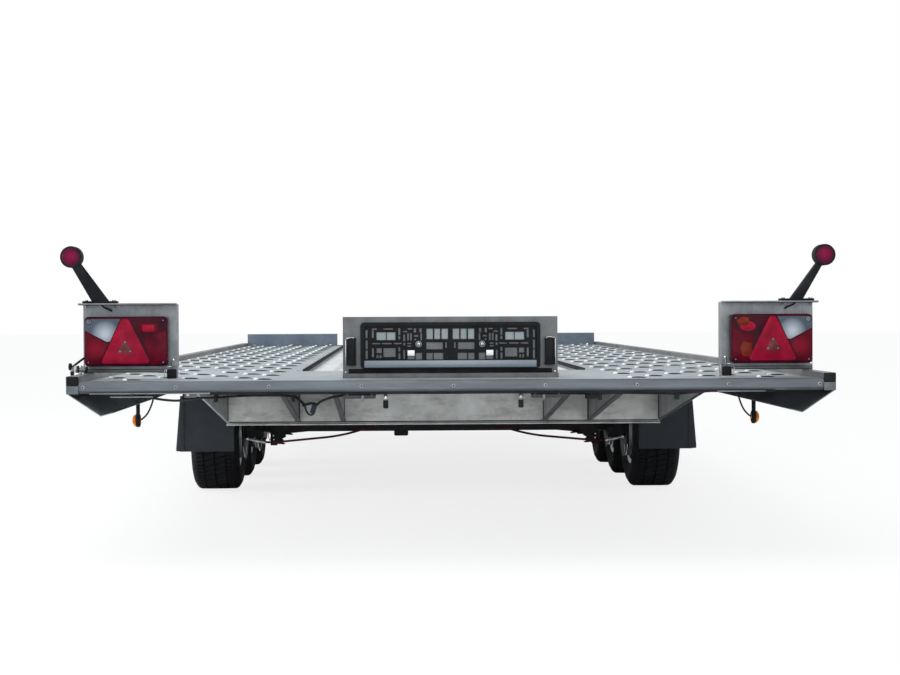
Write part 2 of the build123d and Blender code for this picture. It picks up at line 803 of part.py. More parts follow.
# ---------------------------------------------------------------- lamp brackets and lamps
lamp_plate_face = rear + lamp_plate_y
with BuildPart() as lamp_brackets:
    # plate with its top shelf folded rearwards and its inner edge folded forwards
    with BuildSketch(facing_rear(lamp_plate_face)):
        with Locations(((lamp_plate_inner + lamp_plate_outer) / 2, (lamp_plate_bottom + lamp_plate_top) / 2)):
            Rectangle(lamp_plate_outer - lamp_plate_inner, lamp_plate_top - lamp_plate_bottom)
    extrude(amount=-lamp_sheet)
    with BuildSketch(Plane.XY.offset(lamp_plate_top)):
        with Locations(((lamp_plate_inner + lamp_plate_outer + lamp_shelf_over) / 2,
                        lamp_plate_face + lamp_sheet - lamp_shelf / 2)):
            Rectangle(lamp_plate_outer + lamp_shelf_over - lamp_plate_inner, lamp_shelf)
    extrude(amount=lamp_sheet)
    with BuildSketch(Plane.YZ.offset(lamp_plate_inner)):
        with Locations((lamp_plate_face + lamp_return / 2, (lamp_plate_bottom + lamp_plate_top) / 2)):
            Rectangle(lamp_return, lamp_plate_top - lamp_plate_bottom)
    extrude(amount=lamp_sheet)
    # square tube along the deck
    tube_foot = deck_top + seat_gap
    tube_x = lamp_plate_inner + lamp_tube / 2
    with BuildSketch(facing_rear(lamp_plate_face - 10, tube_x, tube_foot + lamp_tube / 2)):
        Rectangle(lamp_tube, lamp_tube)
        Rectangle(lamp_tube - 5, lamp_tube - 5, mode=Mode.SUBTRACT)
    extrude(amount=-lamp_tube_length)
    # saddle on the side rail
    with BuildSketch(facing_rear(lamp_plate_face)):
        with Locations((lamp_plate_outer - 14, (rail_top + seat_gap + lamp_plate_bottom) / 2)):
            Rectangle(28, lamp_plate_bottom - rail_top - seat_gap)
    extrude(amount=-30)
    mirror(about=Plane.YZ)
finish(lamp_brackets, "lamp_brackets")

lamp_mid_x = (lamp_inner + lamp_outer) / 2
lamp_mid_z = (lamp_bottom + lamp_top) / 2
lamp_width = lamp_outer - lamp_inner
lamp_height = lamp_top - lamp_bottom
lamp_back = lamp_plate_face - seat_gap
with BuildPart() as tail_lamp_bodies:
    with BuildSketch(facing_rear(lamp_back, lamp_mid_x, lamp_mid_z)):
        Rectangle(lamp_width - 6, lamp_height - 6)
    extrude(amount=lamp_base_depth)
    mirror(about=Plane.YZ)
finish(tail_lamp_bodies, "tail_lamp_bodies")

# ---------------------------------------------------------------- marker lamps on rubber arms
marker_foot = lamp_plate_top + lamp_sheet + seat_gap
marker_centre_y = lamp_plate_face + lamp_sheet - lamp_shelf / 2
stalk_outer = side_marker_x + side_stalk[0] / 2
lip_climb = (half_width - skirt_in - stalk_outer) * lip_rise / (lip_in - skirt_in)
skirt_floor = rail_top - skirt_drop + lip_climb - seat_gap
with BuildPart() as marker_arms:
    with BuildSketch(Plane.XY.offset(marker_foot)):
        with Locations(((marker_base[0] + marker_base[1]) / 2, marker_centre_y)):
            Rectangle(marker_base[1] - marker_base[0], marker_base_depth)
    extrude(amount=marker_base_thick)
    with BuildSketch(facing_rear(marker_centre_y - 14)):
        with BuildLine():
            Polyline(
                (marker_root[0], marker_foot), (marker_root[1], marker_foot),
                (marker_x + 4, marker_z - marker_neck / 2), (marker_x - marker_neck / 2 - 4, marker_z + 4), close=True)
        make_face()
    extrude(amount=-28)
    with BuildSketch(facing_rear(marker_centre_y - marker_depth / 2 + marker_lens, marker_x, marker_z)):
        Circle(marker_radius)
    extrude(amount=-(marker_depth - 2 * marker_lens))
    # stalks of the side markers, hung from the skirt's lip
    with BuildSketch(Plane.XY.offset(side_marker_bottom)):
        with Locations((side_marker_x, rear + side_marker_y)):
            Rectangle(*side_stalk)
    extrude(amount=skirt_floor - side_marker_bottom)
    mirror(about=Plane.YZ)
finish(marker_arms, "marker_arms")

# ---------------------------------------------------------------- red lenses
with BuildPart() as red_lenses:
    lens_back = lamp_back - lamp_base_depth - seat_gap
    with BuildSketch(facing_rear(lens_back, lamp_mid_x, lamp_mid_z)):
        RectangleRounded(lamp_width, lamp_height, lamp_corner)
    extrude(amount=lamp_lens_depth)
    chamfer(red_lenses.faces().sort_by(Axis.Y)[0].edges(), 3)
    # raised triangular reflector
    with BuildSketch(facing_rear(lens_back - lamp_lens_depth + 0.5, lamp_mid_x, lamp_mid_z - triangle_height / 2)):
        with BuildLine():
            Polyline((-triangle_half, 0), (triangle_half, 0), (0, triangle_height), close=True)
        make_face()
    extrude(amount=4)
    # round lens of the marker lamp
    with BuildSketch(facing_rear(marker_centre_y - marker_depth / 2 + marker_lens - seat_gap, marker_x, marker_z)):
        Circle(marker_radius - 4)
    extrude(amount=marker_lens)
    mirror(about=Plane.YZ)
finish(red_lenses, "red_lenses")

# ---------------------------------------------------------------- number plate bracket
plate_face = rear + plate_y
with BuildPart() as plate_bracket:
    # foot bar, plate and returns
    with BuildSketch(Plane.YZ.offset(-plate_half)):
        with BuildLine():
            Polyline(
                (rear + plate_foot_y, deck_top + seat_gap),
                (rear + plate_foot_y, deck_top + plate_foot),
                (plate_face, deck_top + plate_foot),
                (plate_face, plate_top),
                (plate_face + plate_return, plate_top),
            )
            offset(amount=plate_sheet, side=Side.RIGHT)
        make_face()
    extrude(amount=2 * plate_half)
    for x in (-plate_half, plate_half - plate_sheet):
        with BuildSketch(Plane.YZ.offset(x)):
            with BuildLine():
                Polyline(
                    (plate_face, plate_top), (plate_face + plate_return, plate_top),
                    (plate_face + plate_return, deck_top + seat_gap), (rear + plate_foot_y, deck_top + seat_gap),
                    (rear + plate_foot_y, deck_top + plate_foot), (plate_face, deck_top + plate_foot), close=True)
            make_face()
        extrude(amount=plate_sheet)
finish(plate_bracket, "plate_bracket")

holder_back = plate_face - seat_gap
with BuildPart() as plate_holder:
    holder_mid = (holder_bottom + holder_top) / 2
    with BuildSketch(facing_rear(holder_back, 0, holder_mid)):
        RectangleRounded(2 * holder_half, holder_top - holder_bottom, holder_corner)
    extrude(amount=holder_depth)
    # recess over the blank strip, then the strip's own shallow seat
    strip_top = holder_bottom + holder_foot + holder_strip
    with BuildSketch(facing_rear(holder_back - holder_back_sheet, 0, (strip_top + holder_top - holder_rim) / 2)):
        RectangleRounded(2 * (holder_half - holder_rim), holder_top - holder_rim - strip_top, holder_corner - 5)
    extrude(amount=holder_depth, mode=Mode.SUBTRACT)
    with BuildSketch(facing_rear(holder_back - holder_depth + strip_recess, 0, strip_top - holder_strip / 2)):
        Rectangle(2 * (holder_half - holder_rim), holder_strip)
    extrude(amount=holder_depth, mode=Mode.SUBTRACT)
    with BuildSketch(facing_rear(holder_back)):
        for low, high, reaches in grid_rows:
            for near, far in reaches:
                with Locations(*((side * (near + far) / 2, rail_top + (low + high) / 2) for side in (-1, 1))):
                    Rectangle(far - near, high - low)
    extrude(amount=holder_back_sheet, mode=Mode.SUBTRACT)
finish(plate_holder, "plate_holder")

with BuildPart() as licence_lights:
    with BuildSketch(Plane.XY.offset(licence_bottom)):
        with Locations((licence_x, plate_face - seat_gap - licence_depth / 2)):
            Rectangle(2 * licence_half, licence_depth)
    extrude(amount=licence_top - licence_bottom)
    chamfer(licence_lights.edges().filter_by(Axis.Z), 7)
    mirror(about=Plane.YZ)
finish(licence_lights, "licence_lights")

# ---------------------------------------------------------------- side markers
with BuildPart() as side_marker_lenses:
    lens_x = side_marker_x + side_stalk[0] / 2 + seat_gap
    with BuildSketch(Plane.YZ.offset(lens_x)):
        with Locations((rear + side_marker_y, side_marker_bottom + side_lens[1] / 2)):
            Rectangle(side_lens[2], side_lens[1])
    extrude(amount=side_lens[0])
    mirror(about=Plane.YZ)
finish(side_marker_lenses, "side_marker_lenses")

# ---------------------------------------------------------------- ramp catches under the rear bar
bar_bottom = deck_top + bar_sheet - bar_height
with BuildPart() as ramp_catches:
    with BuildSketch(Plane.XY.offset(spring_pin_bottom)):
        with Locations((spring_pin_x, rear + spring_pin_y)):
            Circle(7)
    extrude(amount=26)
    with BuildSketch(Plane.XY.offset(spring_pin_bottom + 26)):
        with Locations((spring_pin_x, rear + spring_pin_y)):
            Circle(5)
    extrude(amount=bar_bottom - seat_gap - spring_pin_bottom - 26)
    bolt_z = bar_bottom - 5 - bolt_radius
    with BuildSketch(Plane.YZ.offset(bolt_inner)):
        with Locations((rear + spring_pin_y, bolt_z)):
            Circle(bolt_radius)
    extrude(amount=bolt_outer - bolt_inner)
    for x in (bolt_inner + 8, bolt_outer - 14):
        with BuildSketch(Plane.YZ.offset(x)):
            with Locations((rear + spring_pin_y, (bolt_z + bar_bottom - seat_gap) / 2)):
                Rectangle(20, bar_bottom - seat_gap - bolt_z)
        extrude(amount=6)
    mirror(about=Plane.YZ)
finish(ramp_catches, "ramp_catches")

# ---------------------------------------------------------------- coupling and brake lever
overrun_back = rear + overrun_nose_y - overrun_length
overrun_bottom = draw_bottom + seat_gap
overrun_middle = overrun_bottom + overrun_height / 2
overrun_nose = rear + overrun_nose_y
with BuildPart() as overrun_unit:
    with BuildSketch(facing_rear(overrun_back, 0, overrun_middle)):
        Rectangle(2 * overrun_half, overrun_height)
        Rectangle(2 * overrun_half - 12, overrun_height - 12, mode=Mode.SUBTRACT)
    extrude(amount=-overrun_length)
    with BuildSketch(facing_rear(overrun_nose - 8, 0, overrun_middle)):
        Rectangle(2 * overrun_half - 1, overrun_height - 1)
    extrude(amount=-8)
    with BuildSketch(facing_rear(overrun_nose, 0, overrun_middle)):
        Circle(draw_bar_radius + 10)
    extrude(amount=-10)
    with BuildSketch(facing_rear(overrun_nose + 10, 0, overrun_middle)):
        Circle(draw_bar_radius)
    extrude(amount=-(bellows_length + 20))
    # hand brake lever on the left side, pulled up
    lever_y = overrun_back + 120
    with BuildSketch(Plane.YZ.offset(-overrun_half - lever_thick)):
        with BuildLine():
            Polyline((lever_y - 25, overrun_middle - 20), (lever_y + 25, overrun_middle - 20),
                     (lever_y + 18, overrun_middle + 60), (lever_y - lever_back + 22, overrun_middle + lever_rise),
                     (lever_y - lever_back, overrun_middle + lever_rise - 8), (lever_y - 18, overrun_middle + 60),
                     close=True)
        make_face()
    extrude(amount=lever_thick)
finish(overrun_unit, "overrun_unit")

with BuildPart() as bellows:
    with BuildSketch(Plane.YZ):
        with BuildLine():
            bellows_back = overrun_nose + 10 + seat_gap
            folds = 4
            fold = (bellows_length - 2 * seat_gap) / folds
            points = [(bellows_back, overrun_middle + draw_bar_radius + seat_gap)]
            for n in range(folds):
                points += [(bellows_back + n * fold, overrun_middle + bellows_radius - 8),
                           (bellows_back + (n + 0.5) * fold, overrun_middle + bellows_radius)]
            points += [(bellows_back + folds * fold, overrun_middle + bellows_radius - 8),
                       (bellows_back + folds * fold, overrun_middle + draw_bar_radius + seat_gap)]
            Polyline(*points, close=True)
        make_face()
    revolve(axis=Axis((0, 0, overrun_middle), (0, 1, 0)))
finish(bellows, "bellows")

with BuildPart() as coupling_head:
    head_back = overrun_nose + 10 + bellows_length + seat_gap
    head_nose = rear + overall_length
    with BuildSketch(facing_rear(head_back, 0, overrun_middle)):
        RectangleRounded(70, head_height, 20)
        Circle(draw_bar_radius + seat_gap, mode=Mode.SUBTRACT)
    extrude(amount=-24)
    socket_y = head_nose - head_width / 2
    with BuildSketch(Plane.XY.offset(overrun_middle - head_height / 2)):
        with Locations((0, socket_y)):
            Circle(head_width / 2)
        with Locations((0, (head_back + 24 + socket_y) / 2)):
            Rectangle(62, socket_y - head_back - 24)
    extrude(amount=head_height)
    with Locations((0, socket_y, overrun_middle - 12)):
        Sphere(ball_radius + 0.5, mode=Mode.SUBTRACT)
    with BuildSketch(Plane.XY.offset(overrun_middle - head_height / 2)):
        with Locations((0, socket_y)):
            Circle(ball_radius + 0.5)
    extrude(amount=head_height / 2 - 12, mode=Mode.SUBTRACT)
    # handle over the head
    with BuildSketch(Plane.YZ.offset(-14)):
        with BuildLine():
            Polyline((socket_y - 6, overrun_middle + head_height / 2), (socket_y + 14, overrun_middle + head_height / 2),
                     (socket_y - 30, overrun_middle + head_height / 2 + handle_rise - 14),
                     (socket_y - handle_back, overrun_middle + head_height / 2 + handle_rise),
                     (socket_y - handle_back - 4, overrun_middle + head_height / 2 + handle_rise - 14),
                     (socket_y - 40, overrun_middle + head_height / 2 + handle_rise - 30), close=True)
        make_face()
    extrude(amount=28)
finish(coupling_head, "coupling_head")

# ---------------------------------------------------------------- jockey wheel
jockey_at = (jockey_x, rear + jockey_y)
with BuildPart() as jockey_tube:
    with BuildSketch(Plane.XY.offset(jockey_tube_bottom)):
        with Locations(jockey_at):
            Circle(jockey_outer_radius)
            Circle(jockey_outer_radius - jockey_wall, mode=Mode.SUBTRACT)
    extrude(amount=jockey_tube_top - jockey_tube_bottom)
    with BuildSketch(Plane.XY.offset(jockey_tube_top)):
        with Locations(jockey_at):
            Circle(jockey_outer_radius)
    extrude(amount=8)
    # crank arm and its knob
    with BuildSketch(Plane.XY.offset(jockey_tube_top + 8)):
        with Locations(jockey_at):
            Circle(9)
    extrude(amount=crank_stem)
    with BuildSketch(Plane.XY.offset(jockey_tube_top + 8 + crank_stem)):
        with Locations((jockey_at[0] - 50, jockey_at[1])):
            Rectangle(124, 22)
    extrude(amount=crank_thick)
    with BuildSketch(Plane.XY.offset(jockey_tube_top + 8 + crank_stem + crank_thick)):
        with Locations((jockey_at[0] - 100, jockey_at[1])):
            Circle(11)
    extrude(amount=crank_knob)
finish(jockey_tube, "jockey_tube")


leg_slack = 0.6
with BuildPart() as jockey_leg:
    with BuildSketch(Plane.XY.offset(fork_top + seat_gap)):
        with Locations(jockey_at):
            Circle(jockey_outer_radius - jockey_wall - leg_slack)
            Circle(jockey_outer_radius - jockey_wall - leg_slack - 4, mode=Mode.SUBTRACT)
    extrude(amount=jockey_leg_length)
    with BuildSketch(Plane.XY.offset(fork_top + seat_gap)):
        with Locations(jockey_at):
            Circle(jockey_outer_radius - jockey_wall - leg_slack)
    extrude(amount=6)
finish(jockey_leg, "jockey_leg")

caster_y = jockey_at[1] - jockey_trail
fork_half = jockey_wheel_width / 2 + running_gap
with BuildPart() as jockey_fork:
    with BuildSketch(Plane.XY.offset(fork_top - fork_thick)):
        with Locations((jockey_x, jockey_at[1] - 10)):
            Rectangle(2 * (fork_half + fork_thick), 70)
    extrude(amount=fork_thick)
    for x in (jockey_x - fork_half - fork_thick, jockey_x + fork_half):
        with BuildSketch(Plane.YZ.offset(x)):
            with BuildLine():
                Polyline((jockey_at[1] - 45, fork_top - fork_thick), (jockey_at[1] + 25, fork_top - fork_thick),
                         (caster_y + 16, jockey_wheel_radius - 12), (caster_y - 16, jockey_wheel_radius - 12), close=True)
            make_face()
        extrude(amount=fork_thick)
    with BuildSketch(Plane.YZ.offset(jockey_x - fork_half - fork_thick)):
        with Locations((caster_y, jockey_wheel_radius)):
            Circle(7)
    extrude(amount=2 * (fork_half + fork_thick))
finish(jockey_fork, "jockey_fork")

with BuildPart() as jockey_wheel:
    with BuildSketch(Plane(origin=(jockey_x, caster_y, jockey_wheel_radius), x_dir=(1, 0, 0), z_dir=(0, -1, 0))):
        with BuildLine():
            w = jockey_wheel_width / 2
            Polyline((-w, 7.3), (w, 7.3), (w, 20), (w - 14, 26), (w - 14, 62), (w, 66),
                     (w - 8, jockey_wheel_radius), (-w + 8, jockey_wheel_radius), (-w, 66),
                     (-w + 14, 62), (-w + 14, 26), (-w, 20), close=True)
        make_face()
    revolve(axis=Axis((jockey_x, caster_y, jockey_wheel_radius), (1, 0, 0)))
finish(jockey_wheel, "jockey_wheel")
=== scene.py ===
from math import atan2, cos, pi, radians, sin, sqrt

import bmesh
import bpy
from mathutils import Matrix, Vector


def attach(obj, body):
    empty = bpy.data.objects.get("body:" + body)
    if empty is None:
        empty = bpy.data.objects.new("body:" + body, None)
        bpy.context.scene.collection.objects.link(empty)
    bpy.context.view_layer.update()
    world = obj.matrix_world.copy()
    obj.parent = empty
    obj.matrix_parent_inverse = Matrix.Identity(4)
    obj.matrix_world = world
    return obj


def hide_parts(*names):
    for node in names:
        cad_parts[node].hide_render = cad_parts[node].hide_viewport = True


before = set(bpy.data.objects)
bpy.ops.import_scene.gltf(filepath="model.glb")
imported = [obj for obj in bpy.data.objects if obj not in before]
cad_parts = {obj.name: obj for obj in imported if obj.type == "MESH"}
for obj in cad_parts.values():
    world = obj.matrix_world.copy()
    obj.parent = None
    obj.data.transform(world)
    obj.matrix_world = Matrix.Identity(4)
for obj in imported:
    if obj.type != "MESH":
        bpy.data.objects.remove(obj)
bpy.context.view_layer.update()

print("stage: frame loaded")

# places shared with the frame, in metres; Y runs forward from the rear end caps
trailer = dict(rear=-3.685, deckTop=0.527,
               tyreRadius=0.233, halfTrack=0.8965, axleY=(-1.395, -0.809, -0.223))
rearY = trailer["rear"]
deckTop = trailer["deckTop"]


# materials: each on object coordinates
def newMaterial(name):
    material = bpy.data.materials.new(name)
    material.use_nodes = True
    tree = material.node_tree
    return material, tree.nodes, tree.links, tree.nodes["Principled BSDF"]


def patternNoise(nodes, links, scale, detail, stretch=(1, 1, 1), roughness=0.55):
    place = nodes.new("ShaderNodeTexCoord")
    mapping = nodes.new("ShaderNodeMapping")
    mapping.inputs["Scale"].default_value = stretch
    noise = nodes.new("ShaderNodeTexNoise")
    noise.inputs["Scale"].default_value = scale
    noise.inputs["Detail"].default_value = detail
    noise.inputs["Roughness"].default_value = roughness
    links.new(place.outputs["Object"], mapping.inputs["Vector"])
    links.new(mapping.outputs["Vector"], noise.inputs["Vector"])
    return noise, mapping


def colourRamp(nodes, links, source, stops):
    ramp = nodes.new("ShaderNodeValToRGB")
    while len(ramp.color_ramp.elements) < len(stops):
        ramp.color_ramp.elements.new(0.5)
    for element, (at, colour) in zip(ramp.color_ramp.elements, stops):
        element.position = at
        element.color = (*colour, 1)
    links.new(source, ramp.inputs["Fac"])
    return ramp


def addBump(nodes, links, shader, height, strength, distance):
    bump = nodes.new("ShaderNodeBump")
    bump.inputs["Strength"].default_value = strength
    bump.inputs["Distance"].default_value = distance
    links.new(height, bump.inputs["Height"])
    links.new(bump.outputs["Normal"], shader.inputs["Normal"])


def roughnessFrom(nodes, links, shader, source, low, high):
    spread = nodes.new("ShaderNodeMapRange")
    spread.inputs["To Min"].default_value = low
    spread.inputs["To Max"].default_value = high
    links.new(source, spread.inputs["Value"])
    links.new(spread.outputs["Result"], shader.inputs["Roughness"])


def multiplied(nodes, links, base, over, factor):
    mix = nodes.new("ShaderNodeMix")
    mix.data_type = "RGBA"
    mix.blend_type = "MULTIPLY"
    mix.inputs["Factor"].default_value = factor
    links.new(base, mix.inputs["A"])
    links.new(over, mix.inputs["B"])
    return mix.outputs["Result"]


# hot-dip zinc: crystal patches, darker stains, and runs down the sheet
def zincMaterial(name, dark, middle, pale, patch, metal, low, high, contrast,
                 stretch=(1, 1, 1), streak=(3, 3, 14), spangle=42.0, specular=0.5):
    material, nodes, links, shader = newMaterial(name)
    cloud, mapping = patternNoise(nodes, links, patch, 5.0, stretch, 0.62)
    run, _ = patternNoise(nodes, links, 3.2, 6.0, streak, 0.7)
    crystal = nodes.new("ShaderNodeTexVoronoi")
    crystal.inputs["Scale"].default_value = spangle
    links.new(mapping.outputs["Vector"], crystal.inputs["Vector"])
    ramp = colourRamp(nodes, links, cloud.outputs["Fac"], ((0.3, dark), (0.5, middle), (0.72, pale)))
    stain = colourRamp(nodes, links, run.outputs["Fac"], ((0.36, (0.62, 0.62, 0.6)), (0.5, (1, 1, 1))))
    grain = colourRamp(nodes, links, crystal.outputs["Color"], ((0.0, (0.84, 0.85, 0.86)), (1.0, (1, 1, 1))))
    stained = multiplied(nodes, links, ramp.outputs["Color"], stain.outputs["Color"], contrast)
    spangled = multiplied(nodes, links, stained, grain.outputs["Color"], 0.8)
    links.new(spangled, shader.inputs["Base Color"])
    shader.inputs["Metallic"].default_value = metal
    shader.inputs["Specular IOR Level"].default_value = specular
    roughnessFrom(nodes, links, shader, cloud.outputs["Fac"], low, high)
    addBump(nodes, links, shader, run.outputs["Fac"], 0.12, 0.002)
    return material


# moulded plastic or rubber with a fine grain
def mouldedMaterial(name, colour, roughness, grain=900.0, depth=0.25, specular=0.07,
                    dust=0.25, dustColour=(0.2, 0.2, 0.19)):
    material, nodes, links, shader = newMaterial(name)
    fine, _ = patternNoise(nodes, links, grain, 2.0)
    broad, _ = patternNoise(nodes, links, 7.0, 6.0, (1, 1, 1), 0.65)
    pale = tuple(c + (d - c) * dust for c, d in zip(colour, dustColour))
    ramp = colourRamp(nodes, links, broad.outputs["Fac"], ((0.42, colour), (0.75, pale)))
    links.new(ramp.outputs["Color"], shader.inputs["Base Color"])
    shader.inputs["Specular IOR Level"].default_value = specular
    roughnessFrom(nodes, links, shader, broad.outputs["Fac"], roughness - 0.08, roughness + 0.12)
    addBump(nodes, links, shader, fine.outputs["Fac"], depth, 0.0004)
    return material


# ribbed lamp plastic: colour deepens and clears in bands, with a clear coat
def lensMaterial(name, colour, deep, ribs=420.0, glow=0.0, centre=None, reach=0.03):
    material, nodes, links, shader = newMaterial(name)
    place = nodes.new("ShaderNodeTexCoord")
    wave = nodes.new("ShaderNodeTexWave")
    wave.inputs["Scale"].default_value = ribs
    wave.inputs["Distortion"].default_value = 0.0
    links.new(place.outputs["Object"], wave.inputs["Vector"])
    if centre:   # paler round a point as a painted highlight, the same on both sides of the trailer
        steps = []
        for operation, value in (("ABSOLUTE", None), ("SUBTRACT", (centre[0], 0, centre[1])),
                                 ("MULTIPLY", (1 / reach, 0, 1 / reach)), ("LENGTH", None)):
            step = nodes.new("ShaderNodeVectorMath")
            step.operation = operation
            if value:
                step.inputs[1].default_value = value
            links.new(steps[-1].outputs["Vector"] if steps else place.outputs["Object"], step.inputs[0])
            steps.append(step)
        ramp = colourRamp(nodes, links, steps[-1].outputs["Value"], ((0.15, colour), (0.95, deep)))
    else:
        cloud, _ = patternNoise(nodes, links, 22.0, 3.0)
        ramp = colourRamp(nodes, links, cloud.outputs["Fac"], ((0.35, deep), (0.62, colour)))
    links.new(ramp.outputs["Color"], shader.inputs["Base Color"])
    shader.inputs["Roughness"].default_value = 0.16
    shader.inputs["Specular IOR Level"].default_value = 0.03
    shader.inputs["Coat Weight"].default_value = 0.05
    shader.inputs["Coat Roughness"].default_value = 0.04
    # a faint glow, as a painted highlight
    if glow:
        shader.inputs["Emission Color"].default_value = (*colour, 1)
        shader.inputs["Emission Strength"].default_value = glow
    addBump(nodes, links, shader, wave.outputs["Fac"], 0.25, 0.0006)
    return material


zincFrame = zincMaterial("zincFrame", (0.4, 0.405, 0.395), (0.58, 0.58, 0.565), (0.74, 0.74, 0.72),
                         patch=9.0, metal=0.25, low=0.45, high=0.65, streak=(2.5, 2.5, 9), contrast=0.8)
# zincFrame darkened for the rear gussets: painted shade
zincFrameShaded = zincMaterial("zincFrameShaded", (0.23, 0.235, 0.235), (0.31, 0.315, 0.312), (0.41, 0.412, 0.408),
                        patch=9.0, metal=0.25, low=0.45, high=0.65, streak=(2.5, 2.5, 9), contrast=0.8)
zincPlate = zincMaterial("zincPlate", (0.13, 0.145, 0.16), (0.2, 0.215, 0.232), (0.28, 0.297, 0.315),
                         patch=14.0, metal=0.5, low=0.36, high=0.5, streak=(10, 10, 2), contrast=0.5)
# zincPlate darkened for the plate bracket and the lamp brackets' lower edge: painted shade
zincPlateShaded = zincMaterial("zincPlateShaded", (0.075, 0.083, 0.088), (0.105, 0.113, 0.12), (0.145, 0.153, 0.16),
                           patch=14.0, metal=0.5, low=0.36, high=0.5, streak=(10, 10, 2), contrast=0.4)
# near-black zinc: painted shade on the ramp catches and the gusset flanges, and the dark weld lines
zincGusset = zincMaterial("zincGusset", (0.022, 0.024, 0.025), (0.038, 0.041, 0.043), (0.07, 0.073, 0.076),
                          patch=14.0, metal=0.4, low=0.4, high=0.6, streak=(10, 10, 2), contrast=0.5)
zincBar = zincMaterial("zincBar", (0.078, 0.091, 0.104), (0.112, 0.13, 0.147), (0.161, 0.183, 0.205),
                       patch=6.0, metal=0.45, low=0.36, high=0.5, stretch=(0.4, 1, 3), streak=(0.8, 6, 20),
                       contrast=0.35)
zincRail = zincMaterial("zincRail", (0.1, 0.11, 0.115), (0.17, 0.18, 0.185), (0.3, 0.31, 0.32),
                        patch=5.0, metal=0.6, low=0.34, high=0.55, stretch=(1, 0.6, 1), streak=(2, 0.7, 6),
                        contrast=0.6)
zincDeck = zincMaterial("zincDeck", (0.28, 0.32, 0.34), (0.34, 0.385, 0.405), (0.43, 0.47, 0.485),
                        patch=3.2, metal=0.3, low=0.5, high=0.7, stretch=(1, 0.35, 1), streak=(1.5, 0.5, 1),
                        contrast=0.3, specular=0.25)
zincLouvre = zincMaterial("zincLouvre", (0.34, 0.38, 0.4), (0.42, 0.46, 0.48), (0.52, 0.56, 0.58),
                          patch=20.0, metal=0.3, low=0.35, high=0.5, contrast=0.2, specular=0.3)
# near-white zinc: painted highlights on the deck louvres, and the pads behind the plate holder
zincEdge = zincMaterial("zincEdge", (0.86, 0.88, 0.89), (0.92, 0.93, 0.93), (0.97, 0.97, 0.97),
                        patch=20.0, metal=0.2, low=0.3, high=0.45, contrast=0.0)
zincCentre = zincMaterial("zincCentre", (0.52, 0.54, 0.55), (0.62, 0.64, 0.65), (0.74, 0.75, 0.75),
                          patch=5.0, metal=0.2, low=0.4, high=0.6, contrast=0.15, specular=0.25)
zincBright = zincMaterial("zincBright", (0.4, 0.41, 0.42), (0.58, 0.59, 0.6), (0.75, 0.76, 0.76),
                          patch=60.0, metal=0.9, low=0.18, high=0.34, spangle=160.0, contrast=0.3)
rimSilver = zincMaterial("rimSilver", (0.34, 0.35, 0.36), (0.46, 0.47, 0.48), (0.55, 0.56, 0.57),
                         patch=18.0, metal=0.7, low=0.3, high=0.42, spangle=120.0, contrast=0.3)
stopBlue = zincMaterial("stopBlue", (0.1, 0.13, 0.17), (0.13, 0.165, 0.21), (0.17, 0.205, 0.25),
                        patch=7.0, metal=0.5, low=0.38, high=0.52, contrast=0.3)
blackPlastic = mouldedMaterial("blackPlastic", (0.007, 0.0078, 0.0095), 0.42, dust=0.08)
holderPlastic = mouldedMaterial("holderPlastic", (0.006, 0.007, 0.0085), 0.38, dust=0.06)
blackRubber = mouldedMaterial("blackRubber", (0.0075, 0.009, 0.0115), 0.55, grain=500.0, dust=0.12)
tyreRubber = mouldedMaterial("tyreRubber", (0.0095, 0.0099, 0.0115), 0.68,
                             grain=260.0, dust=0.3, dustColour=(0.046, 0.047, 0.05))
flapPlastic = mouldedMaterial("flapPlastic", (0.026, 0.03, 0.037), 0.5,
                              grain=420.0, depth=0.3, dust=0.3, dustColour=(0.06, 0.066, 0.076), specular=0.12)
connectorBlue = mouldedMaterial("connectorBlue", (0.012, 0.02, 0.032), 0.45, dust=0.15)
axleBlack = mouldedMaterial("axleBlack", (0.02, 0.02, 0.0225), 0.42,
                            grain=160.0, depth=0.2, dust=0.22, dustColour=(0.08, 0.075, 0.07))
cableBlack = mouldedMaterial("cableBlack", (0.006, 0.006, 0.007), 0.4, grain=300.0)
cableRed = mouldedMaterial("cableRed", (0.055, 0.006, 0.01), 0.42,
                           grain=240.0, dust=0.5, dustColour=(0.2, 0.1, 0.09))
lensRed = lensMaterial("lensRed", (0.12, 0.003, 0.014), (0.07, 0.002, 0.009))
lensDeep = lensMaterial("lensDeep", (0.05, 0.003, 0.012), (0.028, 0.002, 0.008))
# bright red cores with a faint glow: painted highlight
lensHighlight = lensMaterial("lensHighlight", (0.36, 0.008, 0.035), (0.24, 0.005, 0.02), glow=0.04)
lensTriangle = lensMaterial("lensTriangle", (0.33, 0.006, 0.032), (0.21, 0.004, 0.021), ribs=900.0)
lensSilver = lensMaterial("lensSilver", (0.24, 0.27, 0.3), (0.055, 0.065, 0.08), ribs=700.0)
# the clear, outer and marker lenses are paler round a point: painted highlights
lensClear = lensMaterial("lensClear", (0.42, 0.47, 0.53), (0.07, 0.088, 0.115),
                         ribs=700.0, centre=(1.034, 0.662), reach=0.046)
lensOuter = lensMaterial("lensOuter", (0.2, 0.004, 0.02), (0.085, 0.003, 0.011), centre=(1.061, 0.619), reach=0.036)
lensMarker = lensMaterial("lensMarker", (0.2, 0.006, 0.04), (0.085, 0.006, 0.028),
                          ribs=900.0, centre=(1.136, 0.897), reach=0.024)
lensPink = lensMaterial("lensPink", (0.17, 0.05, 0.055), (0.1, 0.02, 0.03), ribs=1200.0)
lensAmber = lensMaterial("lensAmber", (0.8, 0.24, 0.01), (0.5, 0.12, 0.005), ribs=700.0)
bulbAmber = lensMaterial("bulbAmber", (0.2, 0.028, 0.012), (0.11, 0.01, 0.007), ribs=120.0)
